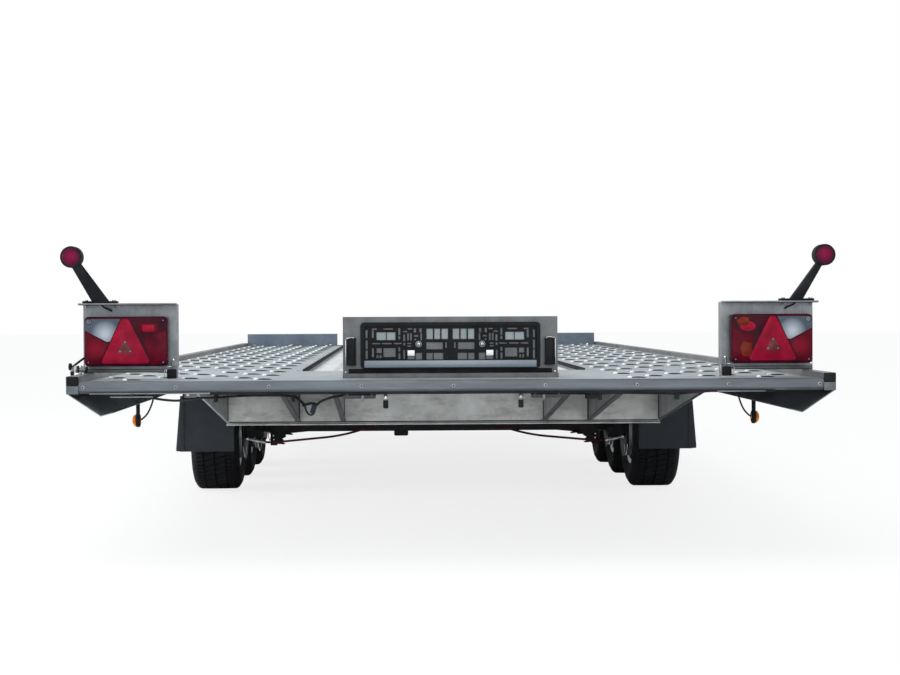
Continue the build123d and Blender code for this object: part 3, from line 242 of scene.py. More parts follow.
# near-black: the valve's own colour, and painted shade in openings, recesses and seams
darkPartsAndShade = mouldedMaterial("darkPartsAndShade", (0.02, 0.022, 0.024), 0.7, dust=0.3, dustColour=(0.12, 0.12, 0.12))
stripSilver = zincMaterial("stripSilver", (0.17, 0.2, 0.235), (0.2, 0.235, 0.275), (0.235, 0.275, 0.32),
                           patch=4.0, metal=0.3, low=0.3, high=0.42, spangle=300.0, contrast=0.1)

# the wheels: name, side and axle
wheels = [(f"{wheelName}_{hand}", side, axleY)
          for wheelName, axleY in zip(("rear", "middle", "front"), trailer["axleY"])
          for side, hand in ((-1, "left"), (1, "right"))]
# the rear gussets, the plate bracket and the ramp catches get darkened zinc as painted shade
nodeFinish = dict(
    side_profiles=zincRail, end_caps=blackPlastic, end_bars=zincBar, rear_crossmember=zincFrame,
    rear_gussets=zincFrameShaded, main_beams=zincFrame, crossmembers=zincFrame, deck_rear_plate=zincDeck, runways=zincDeck,
    deck_centre=zincCentre, wheel_stops=stopBlue, drawbar=zincFrame, axle_beams=axleBlack, trailing_arms=axleBlack,
    mud_flaps=flapPlastic, lamp_brackets=zincPlate, tail_lamp_bodies=blackPlastic, marker_arms=blackRubber,
    red_lenses=lensRed, plate_bracket=zincPlateShaded, plate_holder=holderPlastic, licence_lights=blackPlastic,
    side_marker_lenses=lensAmber, ramp_catches=zincGusset, overrun_unit=zincBright, bellows=blackRubber,
    coupling_head=zincBright, jockey_tube=zincBright, jockey_leg=zincBright, jockey_fork=zincBright,
    jockey_wheel=blackRubber, brake_cables=cableRed, wiring=cableBlack)
for wheel, _, _ in wheels:
    nodeFinish[f"rim_{wheel}"] = rimSilver
    nodeFinish[f"tyre_{wheel}"] = tyreRubber
for nodeName, finish in nodeFinish.items():
    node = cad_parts[nodeName]
    if node.data.materials:
        for index in range(len(node.data.materials)):
            node.data.materials[index] = finish
    else:
        node.data.materials.append(finish)
print("stage: finishes on the frame's own pieces")


# pieces: each is a mesh whose place is in its vertices
def finishPiece(bm, name, materials, body="trailer", replaces=(), smoothAngle=40.0):
    bmesh.ops.recalc_face_normals(bm, faces=bm.faces[:])
    mesh = bpy.data.meshes.new(name)
    bm.to_mesh(mesh)
    bm.free()
    for material in materials:
        mesh.materials.append(material)
    piece = bpy.data.objects.new(name, mesh)
    bpy.context.scene.collection.objects.link(piece)
    mesh.shade_smooth()
    mesh.set_sharp_from_angle(angle=radians(smoothAngle))
    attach(piece, body)
    if replaces:
        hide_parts(*replaces)


turnToY = Matrix.Rotation(radians(90), 4, "X")      # a part made along Z comes to lie along Y
turnToX = Matrix.Rotation(radians(90), 4, "Y")
upright = Matrix.Identity(4)


def paint(verts, slot):
    for face in {face for vert in verts for face in vert.link_faces}:
        face.material_index = slot


# each edge once, in the order met
def edgesOf(verts):
    return list(dict.fromkeys(edge for vert in verts for edge in vert.link_edges))


def roundEdges(bm, edges, offset, segments=2):
    bmesh.ops.bevel(bm, geom=edges, offset=offset, segments=segments, affect="EDGES", profile=0.5, material=-1)


def addBlock(bm, low, high, bevel, segments, slot):
    made = bmesh.ops.create_cube(bm, size=1.0)["verts"]
    size = [b - a for a, b in zip(low, high)]
    middle = [(a + b) / 2 for a, b in zip(low, high)]
    bmesh.ops.scale(bm, vec=size, verts=made)
    bmesh.ops.translate(bm, vec=middle, verts=made)
    paint(made, slot)
    if bevel:
        roundEdges(bm, edgesOf(made), bevel, segments)


# blocks whose rows give the X, Y and Z spans, the bevel, its segments and the slot; on both sides unless told
def addBlocks(bm, rows, sides=(-1, 1), start=(0, rearY, 0)):
    for side in sides:
        for xs, ys, zs, bevel, segments, slot in rows:
            near, far = sorted(start[0] + side * x for x in xs)
            addBlock(bm, (near, start[1] + ys[0], start[2] + zs[0]), (far, start[1] + ys[1], start[2] + zs[1]),
                     bevel, segments, slot)


# a block whose corners are put where a function says
def addShapedBlock(bm, cornerAt, bevel, segments=2, slot=0):
    made = bmesh.ops.create_cube(bm, size=1.0)["verts"]
    for vert in made:
        vert.co = Vector(cornerAt(vert.co))
    paint(made, slot)
    roundEdges(bm, edgesOf(made), bevel, segments)


def addRod(bm, radius, length, matrix, segments, slot, bevel, radiusTop=None):
    made = bmesh.ops.create_cone(bm, cap_ends=True, segments=segments, radius1=radius,
                                 radius2=radius if radiusTop is None else radiusTop,
                                 depth=length, matrix=matrix)["verts"]
    paint(made, slot)
    if bevel:
        caps = [edge for edge in edgesOf(made) if any(len(face.verts) > 4 for face in edge.link_faces)]
        roundEdges(bm, caps, bevel)


# rods whose rows give radius, length, place, facets, slot, bevel and, for a taper, the far end's radius
def addRods(bm, turn, rows, sides=(-1, 1), start=(0, rearY, 0)):
    for side in sides:
        for radius, length, (x, y, z), segments, slot, bevel, *radiusTop in rows:
            place = Matrix.Translation((start[0] + side * x, start[1] + y, start[2] + z))
            addRod(bm, radius, length, place @ turn, segments, slot, bevel, *radiusTop)


def addDome(bm, radii, middle, slot=0, around=28, rings=12):
    made = bmesh.ops.create_uvsphere(bm, u_segments=around, v_segments=rings, radius=1.0)["verts"]
    bmesh.ops.scale(bm, vec=radii, verts=made)
    bmesh.ops.translate(bm, vec=middle, verts=made)
    paint(made, slot)


# a bent rod through points, round in section
def addWire(bm, points, radius, sides=10, slot=0):
    points = [Vector(point) for point in points]
    last = len(points) - 1
    rings = []
    side = None
    for index, point in enumerate(points):
        along = (points[min(index + 1, last)] - points[max(index - 1, 0)]).normalized()
        if side is None:
            side = along.orthogonal().normalized()
        side = (side - along * side.dot(along)).normalized()
        up = along.cross(side)
        matrix = Matrix((side, up, along)).transposed().to_4x4()
        matrix.translation = point
        made = bmesh.ops.create_circle(bm, cap_ends=False, segments=sides, radius=radius, matrix=matrix)["verts"]
        rings.append(edgesOf(made))
    faces = []
    for before, after in zip(rings, rings[1:]):
        faces += bmesh.ops.bridge_loops(bm, edges=before + after)["faces"]
    for ring in (rings[0], rings[-1]):
        faces += bmesh.ops.contextual_create(bm, geom=ring)["faces"]
    for face in faces:
        face.material_index = slot


# points of a smooth bend through a few given ones
def smoothPath(points, steps=6):
    points = [Vector(point) for point in points]
    ends = [points[0] * 2 - points[1]] + points + [points[-1] * 2 - points[-2]]
    path = []
    for a, b, c, d in zip(ends, ends[1:], ends[2:], ends[3:]):
        for step in range(steps):
            t = step / steps
            path.append(0.5 * ((2 * b) + (c - a) * t + (2 * a - 5 * b + 4 * c - d) * t * t
                               + (3 * b - a - 3 * c + d) * t ** 3))
    return path + [points[-1]]


# a smooth path given for the right side, with Y from the rear end unless told
def sidePath(side, points, start=rearY):
    return smoothPath([(side * x, start + y, z) for x, y, z in points])


# a flat outline in the X-Z plane, pushed along Y
def addPlate(bm, outline, yNear, yFar, bevel, segments=2, slot=0):
    verts = [bm.verts.new((x, yNear, z)) for x, z in outline]
    face = bm.faces.new(verts)
    made = bmesh.ops.extrude_face_region(bm, geom=[face])
    moved = [item for item in made["geom"] if isinstance(item, bmesh.types.BMVert)]
    bmesh.ops.translate(bm, vec=(0, yFar - yNear, 0), verts=moved)
    paint(verts + moved, slot)
    roundEdges(bm, list(face.edges), bevel, segments)


# an outline given for the right side
def sideOutline(side, outline):
    points = [(side * x, z) for x, z in outline]
    return points if side < 0 else points[::-1]


def roundedOutline(x0, z0, x1, z1, radius, steps=5):
    corners = ((x1 - radius, z1 - radius, 0), (x0 + radius, z1 - radius, 90),
               (x0 + radius, z0 + radius, 180), (x1 - radius, z0 + radius, 270))
    turns = [(x, z, radians(start + 90 * step / steps)) for x, z, start in corners for step in range(steps + 1)]
    return [(x + radius * cos(turn), z + radius * sin(turn)) for x, z, turn in turns]


# points of a ring round the X axis, as Y and Z
def ringPlaces(count, radius, shift=0.0):
    turns = [2 * pi * (index + shift) / count for index in range(count)]
    return [(radius * cos(turn), radius * sin(turn)) for turn in turns]


# tyres: ribbed carcass by a spin, then cuts across the ribs
tyre = dict(steps=324, treadRadius=0.2328, lift=0.0002, grooveDepth=0.0065, cutDepth=0.0035, shoulderCuts=81,
            middleCuts=54, inset=0.0015, wave=0.0008, waves=72, waveHalf=0.056, slant=-1.5, rib=(0.0025, 0.0415),
            groove=0.0048, treadHalf=0.0715)
sidewall = ((0.0735, 0.1275), (0.0755, 0.1325), (0.0835, 0.1400), (0.0850, 0.1455), (0.0895, 0.1550),
            (0.0898, 0.1575), (0.0935, 0.1700), (0.0962, 0.1790), (0.0972, 0.1850), (0.0970, 0.1960),
            (0.0960, 0.2000), (0.0938, 0.2085), (0.0925, 0.2095), (0.0900, 0.2140), (0.0868, 0.2200),
            (0.0820, 0.2262), (0.0770, 0.2298))


def tyreMesh():
    tread = tyre["treadRadius"]
    low = tread - tyre["grooveDepth"]
    ribIn, ribOut = tyre["rib"]
    shoulder = ribOut + tyre["groove"]
    half = list(sidewall)
    half += [(tyre["treadHalf"], tread - 0.0008), (shoulder, tread - 0.0002), (shoulder - 0.001, low),
             (ribOut + 0.001, low), (ribOut, tread), (ribIn, tread), (ribIn - 0.0008, low)]
    section = half + [(-x, r) for x, r in reversed(half)]
    bm = bmesh.new()
    verts = [bm.verts.new((x, 0, r)) for x, r in section]
    edges = [bm.edges.new(pair) for pair in zip(verts, verts[1:] + verts[:1])]
    bmesh.ops.spin(bm, geom=verts + edges, axis=(1, 0, 0), cent=(0, 0, 0), angle=2 * pi, steps=tyre["steps"],
                   use_merge=True)
    bmesh.ops.recalc_face_normals(bm, faces=bm.faces[:])
    # cuts across each rib, closer together on the shoulders
    ribs = []
    for face in bm.faces:
        middle = face.calc_center_median()
        if sqrt(middle.y ** 2 + middle.z ** 2) > tread - 0.0016 and abs(face.normal.x) < 0.2:
            step = int((atan2(middle.y, middle.z) + pi) / (2 * pi) * tyre["steps"] + 0.25)
            every = tyre["steps"] // tyre["shoulderCuts" if abs(middle.x) > ribOut else "middleCuts"]
            if (step + (1 if middle.x > 0 else 0)) % every == 0:
                ribs.append(face)
    bmesh.ops.inset_individual(bm, faces=ribs, thickness=tyre["inset"], depth=0.0)
    for face in ribs:
        middle = face.calc_center_median()
        inward = Vector((0, -middle.y, -middle.z)).normalized() * tyre["cutDepth"]
        bmesh.ops.translate(bm, vec=inward, verts=face.verts)
    for vert in bm.verts:   # the cuts lean across the middle ribs, and the grooves snake a little
        x, y, z = vert.co
        if sqrt(y ** 2 + z ** 2) > low - 0.001 and abs(x) < tyre["treadHalf"] + 0.0001:
            lean = tyre["slant"] * min(max(x, -shoulder), shoulder)
            snake = tyre["wave"] * sin(tyre["waves"] * atan2(y, z)) if abs(x) < tyre["waveHalf"] else 0.0
            vert.co = Vector((x + snake, y * cos(lean) - z * sin(lean), y * sin(lean) + z * cos(lean)))
    return bm


tyreModel = tyreMesh()
for wheel, side, axleY in wheels:
    bm = tyreModel.copy()
    bmesh.ops.translate(bm, vec=(side * trailer["halfTrack"], axleY, tyre["treadRadius"] + tyre["lift"]),
                        verts=bm.verts)
    finishPiece(bm, f"treadedTyre_{wheel}", [tyreRubber], body=f"wheel_{wheel}", replaces=(f"tyre_{wheel}",),
                smoothAngle=32)
tyreModel.free()
print("stage: tyres")

# wheel fittings: nuts and studs, cap ring, valve, and hand holes as dark discs of painted shade, on the right side's
# wheel at its own middle
wheelTrim = dict(nuts=5, nutCircle=0.056, nutAt=0.043, studAt=0.047, holes=8, holeCircle=0.088, holeAt=0.0425,
                 rods=((0.0345, 0.004, (0.0355, 0, 0), 40, 0, 0.001),
                       (0.0042, 0.03, (0.062, 0.094, 0), 12, 1, 0.0, 0.0036)))
for wheel, side, axleY in wheels:
    bm = bmesh.new()
    rods = list(wheelTrim["rods"])
    for y, z in ringPlaces(wheelTrim["nuts"], wheelTrim["nutCircle"]):
        rods.append((0.0115, 0.012, (wheelTrim["nutAt"], y, z), 6, 0, 0.0008, 0.0095))
        rods.append((0.006, 0.02, (wheelTrim["studAt"], y, z), 12, 0, 0.0, 0.005))
    for y, z in ringPlaces(wheelTrim["holes"], wheelTrim["holeCircle"], 0.5):
        rods.append((0.0085, 0.004, (wheelTrim["holeAt"], y, z), 18, 1, 0.0))
    addRods(bm, turnToX, rods, sides=(1,), start=(0, 0, 0))
    if side < 0:
        bmesh.ops.scale(bm, vec=(-1, 1, 1), verts=bm.verts)
    bmesh.ops.translate(bm, vec=(side * trailer["halfTrack"], axleY, trailer["tyreRadius"]), verts=bm.verts)
    finishPiece(bm, f"wheelNuts_{wheel}", [zincBright, darkPartsAndShade], body=f"wheel_{wheel}", smoothAngle=35)
print("stage: wheel fittings")

# raised mouths over the deck's slots, in columns set in from the rails: distance and first row's share of the pitch
louvre = dict(pitch=0.346, rows=18, first=0.176, end=5.92, halfLong=0.026, reach=0.018, height=0.0042, lip=0.0009,
              seam=0.95, seamClear=0.034, innerHalf=1.0737, back=0.004, sink=0.0002,
              columns=((0.062, 0.5), (0.130, 0.0), (0.213, 0.5), (0.288, 0.3), (0.362, 0.85), (0.448, 0.35),
                       (0.517, 0.0)))


def louvrePlaces():
    places = []
    for inwards, share in louvre["columns"]:
        for row in range(louvre["rows"]):
            along = louvre["first"] + (row + share) * louvre["pitch"]
            if along <= louvre["end"] and abs(along - louvre["seam"]) > louvre["seamClear"]:
                places += [(side * (louvre["innerHalf"] - inwards), rearY + along) for side in (1, -1)]
    return places


bm = bmesh.new()
bmesh.ops.create_grid(bm, x_segments=10, y_segments=3, size=1.0)
for vert in bm.verts:
    u, v = vert.co.x, (vert.co.y + 1) / 2
    swell = sqrt(max(0.0, 1 - u * u))
    vert.co = Vector((u * louvre["halfLong"], louvre["reach"] * v * swell - louvre["back"],
                      louvre["height"] * swell * cos(v * pi / 2) ** 0.8))
bmesh.ops.remove_doubles(bm, verts=bm.verts[:], dist=0.00005)
arch = [edge for edge in bm.edges
        if edge.is_boundary and all(abs(vert.co.y + louvre["back"]) < 0.0001 for vert in edge.verts)]
ends = sorted((vert for vert in bm.verts if abs(abs(vert.co.x) - louvre["halfLong"]) < 0.0001),
              key=lambda vert: vert.co.x)
arch.append(bm.edges.new((ends[0], ends[-1])))
mouth = bmesh.ops.contextual_create(bm, geom=arch)["faces"]
bmesh.ops.inset_individual(bm, faces=mouth, thickness=louvre["lip"], depth=-0.0012)
# the mouth face is dark: painted shade inside the opening
for face in mouth:
    face.material_index = 1
# left ends and the front lip are near-white: painted highlight
for face in bm.faces:
    middle = face.calc_center_median()
    if face not in mouth and (middle.x < -0.7 * louvre["halfLong"] or middle.y < -0.0039):
        face.material_index = 2
addDome(bm, (0.0075, 0.0045, 0.0046), (-0.92 * louvre["halfLong"], -0.0022, 0.0018), 2, 8, 6)   # bright left end, a painted highlight
single = bm.verts[:] + bm.edges[:] + bm.faces[:]
for x, y in louvrePlaces():
    made = [item for item in bmesh.ops.duplicate(bm, geom=single)["geom"] if isinstance(item, bmesh.types.BMVert)]
    bmesh.ops.translate(bm, vec=(x, y, deckTop - louvre["sink"]), verts=made)
bmesh.ops.delete(bm, geom=[item for item in single if isinstance(item, bmesh.types.BMVert)], context="VERTS")
finishPiece(bm, "deckLouvres", [zincLouvre, darkPartsAndShade, zincEdge], smoothAngle=50)
print("stage: deck")

# tail lamps: lens zones, reflector triangle and corner screws
# a zone's row: outline from the lamp's outer and lower edges in millimetres, height, slot, bevel, back
tailLamp = dict(
    outer=1.097, inner=0.849, low=0.567, high=0.716, back=rearY + 0.2514, front=rearY + 0.2336, corner=0.013,
    zones=((((8, 142), (108, 142), (77, 75), (68, 73), (3, 107), (3, 136)), 0.0003, 11),
           (((3, 104), (66, 70), (74, 70), (46, 8), (10, 6), (3, 13)), 0.0003, 10),
           (((176, 83), (245, 106), (245, 13), (238, 6), (200, 6)), 0.0003, 2),
           (((129, 142), (115, 142), (110, 138), (53, 19), (53, 12), (59, 8), (187, 8), (193, 12), (193, 19),
             (134, 138)), 0.0030, 5, 0.0012),
           (((122, 80), (119, 77), (100, 43), (102, 39), (142, 39), (144, 43), (125, 77)),
            0.0033, 6, 0.0002, -0.002)),
    # zones in slot 4 are bright cores, painted highlights
    leftZones=((((165, 129), (215, 129), (219, 125), (219, 101), (215, 97), (168, 97), (163, 102), (163, 126)),
                0.0006, 3),
               (((172, 124), (207, 124), (210, 119), (210, 107), (205, 103), (177, 103), (172, 108)),
                0.0012, 4, 0.0008)),
    rightZones=((((196, 138), (214, 141), (232, 132), (228, 118), (206, 112), (194, 122)), 0.0006, 7),
                ([(198 + 24 * cos(2 * pi * k / 20), 112 + 15 * sin(2 * pi * k / 20)) for k in range(20)], 0.0005, 4),
                (((186, 60), (212, 66), (222, 50), (214, 22), (192, 20), (184, 38)), 0.0006, 7)),
    # screws of the triangle, then one at each corner, the first of them under the clear lens; dark rings at them are
    # painted shade in their recesses
    triangleAt=((122, 72), (107, 45), (137, 45)), triangleScrew=((0.0024, 0.0012, (0, -0.0034, 0), 12, 8, 0.0),),
    screwsAt=((14, 134), (12, 12), (235, 137), (235, 12)),
    clearScrew=((0.0088, 0.0022, (0, 0.0004, 0), 24, 9, 0.0005), (0.0068, 0.0022, (0, 0.0001, 0), 20, 1, 0.0005),
                (0.0018, 0.0022, (0, -0.0002, 0), 10, 8, 0.0), (0.0036, 0.0022, (0, 0, 0), 16, 9, 0.0)),
    screw=((0.0048, 0.0022, (0, 0.0004, 0), 24, 0, 0.0005), (0.0030, 0.0022, (0, 0.0001, 0), 20, 9, 0.0005),
           (0.0018, 0.0022, (0, -0.0002, 0), 10, 8, 0.0)))
marker = dict(x=1.136, z=0.8950, y=rearY + 0.259)


def tailPoint(side, u, v):
    return side * (tailLamp["outer"] - u / 1000), tailLamp["low"] + v / 1000


def tailZone(bm, side, outline, proud, slot, bevel=0.0004, back=0.001):
    points = [tailPoint(side, u, v) for u, v in outline]
    addPlate(bm, points if side < 0 else points[::-1], tailLamp["front"] - proud, tailLamp["front"] + back,
             slot=slot, bevel=bevel)


bm = bmesh.new()
for side in (-1, 1):
    xs = sorted((side * tailLamp["outer"], side * tailLamp["inner"]))
    addPlate(bm, roundedOutline(xs[0], tailLamp["low"], xs[1], tailLamp["high"], tailLamp["corner"]),
             tailLamp["front"] + 0.0002, tailLamp["back"], bevel=0.0035, segments=3)
    for zone in tailLamp["zones"] + tailLamp["leftZones" if side < 0 else "rightZones"]:
        tailZone(bm, side, *zone)
    screws = [(at, tailLamp["triangleScrew"]) for at in tailLamp["triangleAt"]]
    screws += [(at, tailLamp["screw" if index else "clearScrew"]) for index, at in enumerate(tailLamp["screwsAt"])]
    for at, rods in screws:
        x, z = tailPoint(side, *at)
        addRods(bm, turnToY, rods, sides=(1,), start=(x, tailLamp["front"], z))
    # round lenses of the marker lamps, domed
    addDome(bm, (0.0262, 0.0050, 0.0262), (side * marker["x"], marker["y"] - 0.0198, marker["z"]), 12, 32, 16)
finishPiece(bm, "tailLenses", [lensDeep, lensSilver, lensRed, lensRed, lensHighlight, lensTriangle, lensPink, bulbAmber,
                               zincPlate, darkPartsAndShade, lensOuter, lensClear, lensMarker],
            replaces=("red_lenses",), smoothAngle=30)

# marker lamps' rubber arms and leads, and the stalks of the side markers
markerArm = dict(
    baseLow=1.000, baseHigh=1.104, baseZ=0.7562, baseThick=0.0068, baseDepth=0.04, rootLow=1.0307, rootHigh=1.0702,
    rootHalf=0.014, topHalf=0.012, topLow=-0.0063, topHigh=0.0034, topDrop=0.015, lugs=(1.010, 1.094),
    lug=((0.006, 0.004, (0, -0.006, 0.7645), 18, 1, 0.001), (0.0032, 0.012, (0, -0.004, 0.7470), 12, 4, 0.0),
         (0.0056, 0.004, (0, -0.004, 0.7475), 6, 4, 0.0006)),
    drum=((0.0323, 0.026, (0, 0, 0), 40, 0, 0.0025), (0.0326, 0.006, (0, -0.0165, 0), 40, 0, 0.0015),
          (0.0326, 0.006, (0, 0.0165, 0), 40, 0, 0.0015)),
    lead=((1.048, -0.010, 0.7525), (1.040, -0.004, 0.7440), (1.026, 0.008, 0.7370), (1.022, 0.018, 0.7330)))
sideMarker = dict(
    x=0.9952, y=0.600, z=0.3835, lens=(0.0135, 0.0195, 0.0202),
    stalk=(((0.9852, 0.9958), (0.5900, 0.6100), (0.3900, 0.4380), 0.0025, 3, 0),),
    housing=((0.0218, 0.0138, (0.9900, 0.600, 0.3835), 40, 0, 0.0045),),
    lead=((0.9865, 0.603, 0.3865), (0.979, 0.605, 0.3870), (0.962, 0.606, 0.404), (0.950, 0.606, 0.428),
          (0.9425, 0.604, 0.452), (0.9400, 0.600, 0.475), (0.930, 0.59, 0.492)))
leadRadius = 0.0028


def markerArmCorner(side, at):
    outer, forward = at.x > 0, 1 if at.y > 0 else -1
    if at.z < 0:
        return (side * markerArm["rootHigh" if outer else "rootLow"], marker["y"] + forward * markerArm["rootHalf"],
                markerArm["baseZ"] + 0.004)
    return (side * (marker["x"] + markerArm["topHigh" if outer else "topLow"]),
            marker["y"] + forward * markerArm["topHalf"], marker["z"] - (markerArm["topDrop"] if outer else 0.0))


bm = bmesh.new()
y = marker["y"]
half = markerArm["baseDepth"] / 2
addBlocks(bm, (((markerArm["baseLow"], markerArm["baseHigh"]), (y - half, y + half),
                (markerArm["baseZ"], markerArm["baseZ"] + markerArm["baseThick"]), 0.003, 3, 0),), start=(0, 0, 0))
addBlocks(bm, sideMarker["stalk"])
addRods(bm, turnToX, sideMarker["housing"])
for side in (-1, 1):
    addShapedBlock(bm, lambda at: markerArmCorner(side, at), 0.004, 3)
    addRods(bm, turnToY, markerArm["drum"], sides=(1,), start=(side * marker["x"], y, marker["z"]))
    for lug in markerArm["lugs"]:
        addRods(bm, upright, markerArm["lug"], sides=(1,), start=(side * lug, y, 0))
    addDome(bm, (0.0265, 0.0045, 0.0265), (side * marker["x"], y + 0.0198, marker["z"]), 2)   # lens facing forward
    addWire(bm, sidePath(side, markerArm["lead"], y), leadRadius, slot=3)
finishPiece(bm, "markerArms", [blackRubber, zincBright, lensSilver, cableBlack, zincRail], replaces=("marker_arms",))

# amber side markers and their leads
bm = bmesh.new()
for side in (-1, 1):
    addDome(bm, sideMarker["lens"], (side * sideMarker["x"], rearY + sideMarker["y"], sideMarker["z"]), rings=16)
    addWire(bm, sidePath(side, sideMarker["lead"]), leadRadius, slot=1)
finishPiece(bm, "sideMarkers", [lensAmber, cableBlack], replaces=("side_marker_lenses",))
print("stage: lamps")

# number plate holder: blank strip and screws, their ring and socket dark as painted shade
plateHolder = dict(strip=(((-0.2609, 0.2609), (0.2656, 0.2670), (0.5585, 0.5795), 0.0004, 2, 0),),
                   screws=((0.0098, 0.0016, (0.0965, 0.2744, 0.6288), 28, 3, 0.0005),
                           (0.0064, 0.0020, (0.0965, 0.2734, 0.6288), 24, 2, 0.0004),
                           (0.0054, 0.0036, (0.0965, 0.2722, 0.6288), 24, 1, 0.001, 0.0045),
                           (0.0022, 0.0012, (0.0965, 0.2698, 0.6288), 6, 2, 0.0)))
bm = bmesh.new()
addBlocks(bm, plateHolder["strip"], sides=(1,))
addRods(bm, turnToY, plateHolder["screws"])
finishPiece(bm, "plateStrip", [stripSilver, zincBright, darkPartsAndShade, zincPlate], smoothAngle=35)

# lights beside the plate, with ribs at both ends, bright lips, and an arc over the top as a painted highlight
licenceLight = dict(x=0.300, wireRadius=0.0012,
                    blocks=(((0.2865, 0.3135), (0.2462, 0.2795), (0.5655, 0.6475), 0.0085, 5, 0),
                            ((0.2852, 0.3148), (0.2459, 0.2795), (0.5655, 0.5730), 0.003, 3, 0),
                            ((0.2852, 0.3148), (0.2459, 0.2795), (0.6405, 0.6480), 0.003, 3, 0),
                            ((0.3157, 0.3173), (0.2500, 0.2797), (0.571, 0.645), 0.0003, 2, 1),
                            ((0.301, 0.317), (0.2484, 0.2797), (0.6475, 0.6490), 0.0003, 2, 1)),
                    wire=((-0.0125, 0.2455, 0.6455), (-0.006, 0.2452, 0.6495), (0.002, 0.2452, 0.6500),
                          (0.008, 0.2455, 0.6485)))
bm = bmesh.new()
addBlocks(bm, licenceLight["blocks"])
for side in (-1, 1):
    points = [(side * licenceLight["x"] + across, rearY + y, z) for across, y, z in licenceLight["wire"]]
    addWire(bm, smoothPath(points), licenceLight["wireRadius"], slot=1)
finishPiece(bm, "licenceLights", [blackPlastic, zincBright], replaces=("licence_lights",))

# folded edges where the runways meet the ribbed centre
runwayEdge = dict(blocks=(((0.478, 0.483), (0.955, 5.93), (-0.0005, 0.006), 0.0008, 2, 0),
                          ((0.472, 0.476), (0.955, 5.93), (-0.006, 0.002), 0.0008, 2, 0)))
bm = bmesh.new()
addBlocks(bm, runwayEdge["blocks"], start=(0, rearY, deckTop))
finishPiece(bm, "runwayEdges", [darkPartsAndShade])

# dark strip under the plate holder, painted shadow; pads and the bracket's paler places behind the grid's openings
holderBack = dict(seat=(((-0.309, 0.309), (0.2770, 0.2798), (0.5415, 0.5545), 0.0008, 2, 0),),
                  pads=(((0.107, 0.131), (0.2757, 0.2798), (0.5935, 0.6140), 0.0012, 2, 0),
                        ((0.168, 0.224), (0.2791, 0.2798), (0.6415, 0.6680), 0.0, 2, 1),
                        ((0.007, 0.0715), (0.2791, 0.2798), (0.6450, 0.6740), 0.0, 2, 1)))
bm = bmesh.new()
addBlocks(bm, holderBack["seat"], sides=(1,))
finishPiece(bm, "holderShadowStrip", [blackRubber])
bm = bmesh.new()
addBlocks(bm, holderBack["pads"])
finishPiece(bm, "holderPads", [zincEdge, zincDeck])

# screws of the rear bar: washer, head and hex socket, the socket dark as painted shade
barScrew = dict(pitch=0.2656, z=0.5135, eachSide=4,
                rods=((0.0060, 0.0009, (0, 0.0038, 0), 24, 1, 0.0002),
                      (0.0048, 0.0024, (0, 0.0025, 0), 24, 0, 0.0007, 0.0036),
                      (0.0028, 0.0012, (0, 0.0014, 0), 6, 2, 0.0)))
bm = bmesh.new()
for index in range(-barScrew["eachSide"], barScrew["eachSide"] + 1):
    addRods(bm, turnToY, barScrew["rods"], sides=(1,), start=(barScrew["pitch"] * index, rearY, barScrew["z"]))
finishPiece(bm, "barScrews", [zincDeck, zincPlate, darkPartsAndShade])

# linch rings and pins at the lamp brackets' tubes, with small bolts in the brackets' plates
linchPin = dict(x=0.841, y=0.2640, z=0.5423, wireRadius=0.0011,
                ring=((-0.0205, 0.0, -0.0135), (-0.0205, -0.001, 0.012), (-0.016, 0.004, 0.020),
                      (0.0, 0.008, 0.0225), (0.017, 0.004, 0.0215), (0.0215, -0.001, 0.012),
                      (0.0215, -0.002, -0.010), (0.017, -0.0025, -0.0142), (0.0, -0.003, -0.0150),
                      (-0.016, -0.0025, -0.0150)),
                pins=((0.0040, 0.024, (0.839, 0.274, 0.5690), 18, 2, 0.0008),
                      (0.0068, 0.005, (0.839, 0.274, 0.5600), 6, 2, 0.0006)),
                bolts=((0.0042, 0.004, (0.838, 0.2785, 0.585), 16, 0, 0.0008),
                       (0.0042, 0.004, (1.102, 0.2785, 0.566), 16, 0, 0.0008)))
# clamp on the left rail, its parts placed from its middle
railClamp = dict(middle=(-1.097, rearY + 0.150, 0.5605), wireRadius=0.0034,
                 rods=((0.0080, 0.046, (0, 0, 0), 20, 2, 0.0012), (0.0122, 0.007, (-0.010, 0, 0.001), 6, 0, 0.001),
                       (0.0112, 0.005, (-0.002, 0, 0.001), 20, 1, 0.001),
                       (0.0095, 0.006, (0.021, 0, -0.001), 20, 1, 0.001),
                       (0.0070, 0.010, (-0.021, 0, -0.0105), 18, 1, 0.002),
                       (0.0105, 0.009, (0.012, 0, 0.001), 22, 2, 0.0015),
                       (0.0108, 0.009, (-0.0265, 0, 0.0085), 24, 1, 0.003)),
                 pin=((0.0050, 0.030, (0.002, 0, -0.002), 14, 0, 0.0008),),
                 cable=((-1.121, 0.154, 0.566), (-1.120, 0.200, 0.572), (-1.112, 0.245, 0.583),
                        (-1.100, 0.272, 0.594), (-1.088, 0.300, 0.603)))
bm = bmesh.new()
for side in (-1, 1):
    ring = [(side * linchPin["x"] + x, rearY + linchPin["y"] + y, linchPin["z"] + z) for x, y, z in linchPin["ring"]]
    addWire(bm, smoothPath(ring, 3), linchPin["wireRadius"], sides=8)
addRods(bm, upright, linchPin["pins"])
addRods(bm, turnToY, linchPin["bolts"])
addRods(bm, turnToX, railClamp["rods"], sides=(1,), start=railClamp["middle"])
addRods(bm, upright, railClamp["pin"], sides=(1,), start=railClamp["middle"])
addWire(bm, sidePath(1, railClamp["cable"]), railClamp["wireRadius"], slot=1)
finishPiece(bm, "rearPins", [zincBright, blackPlastic, zincPlate])

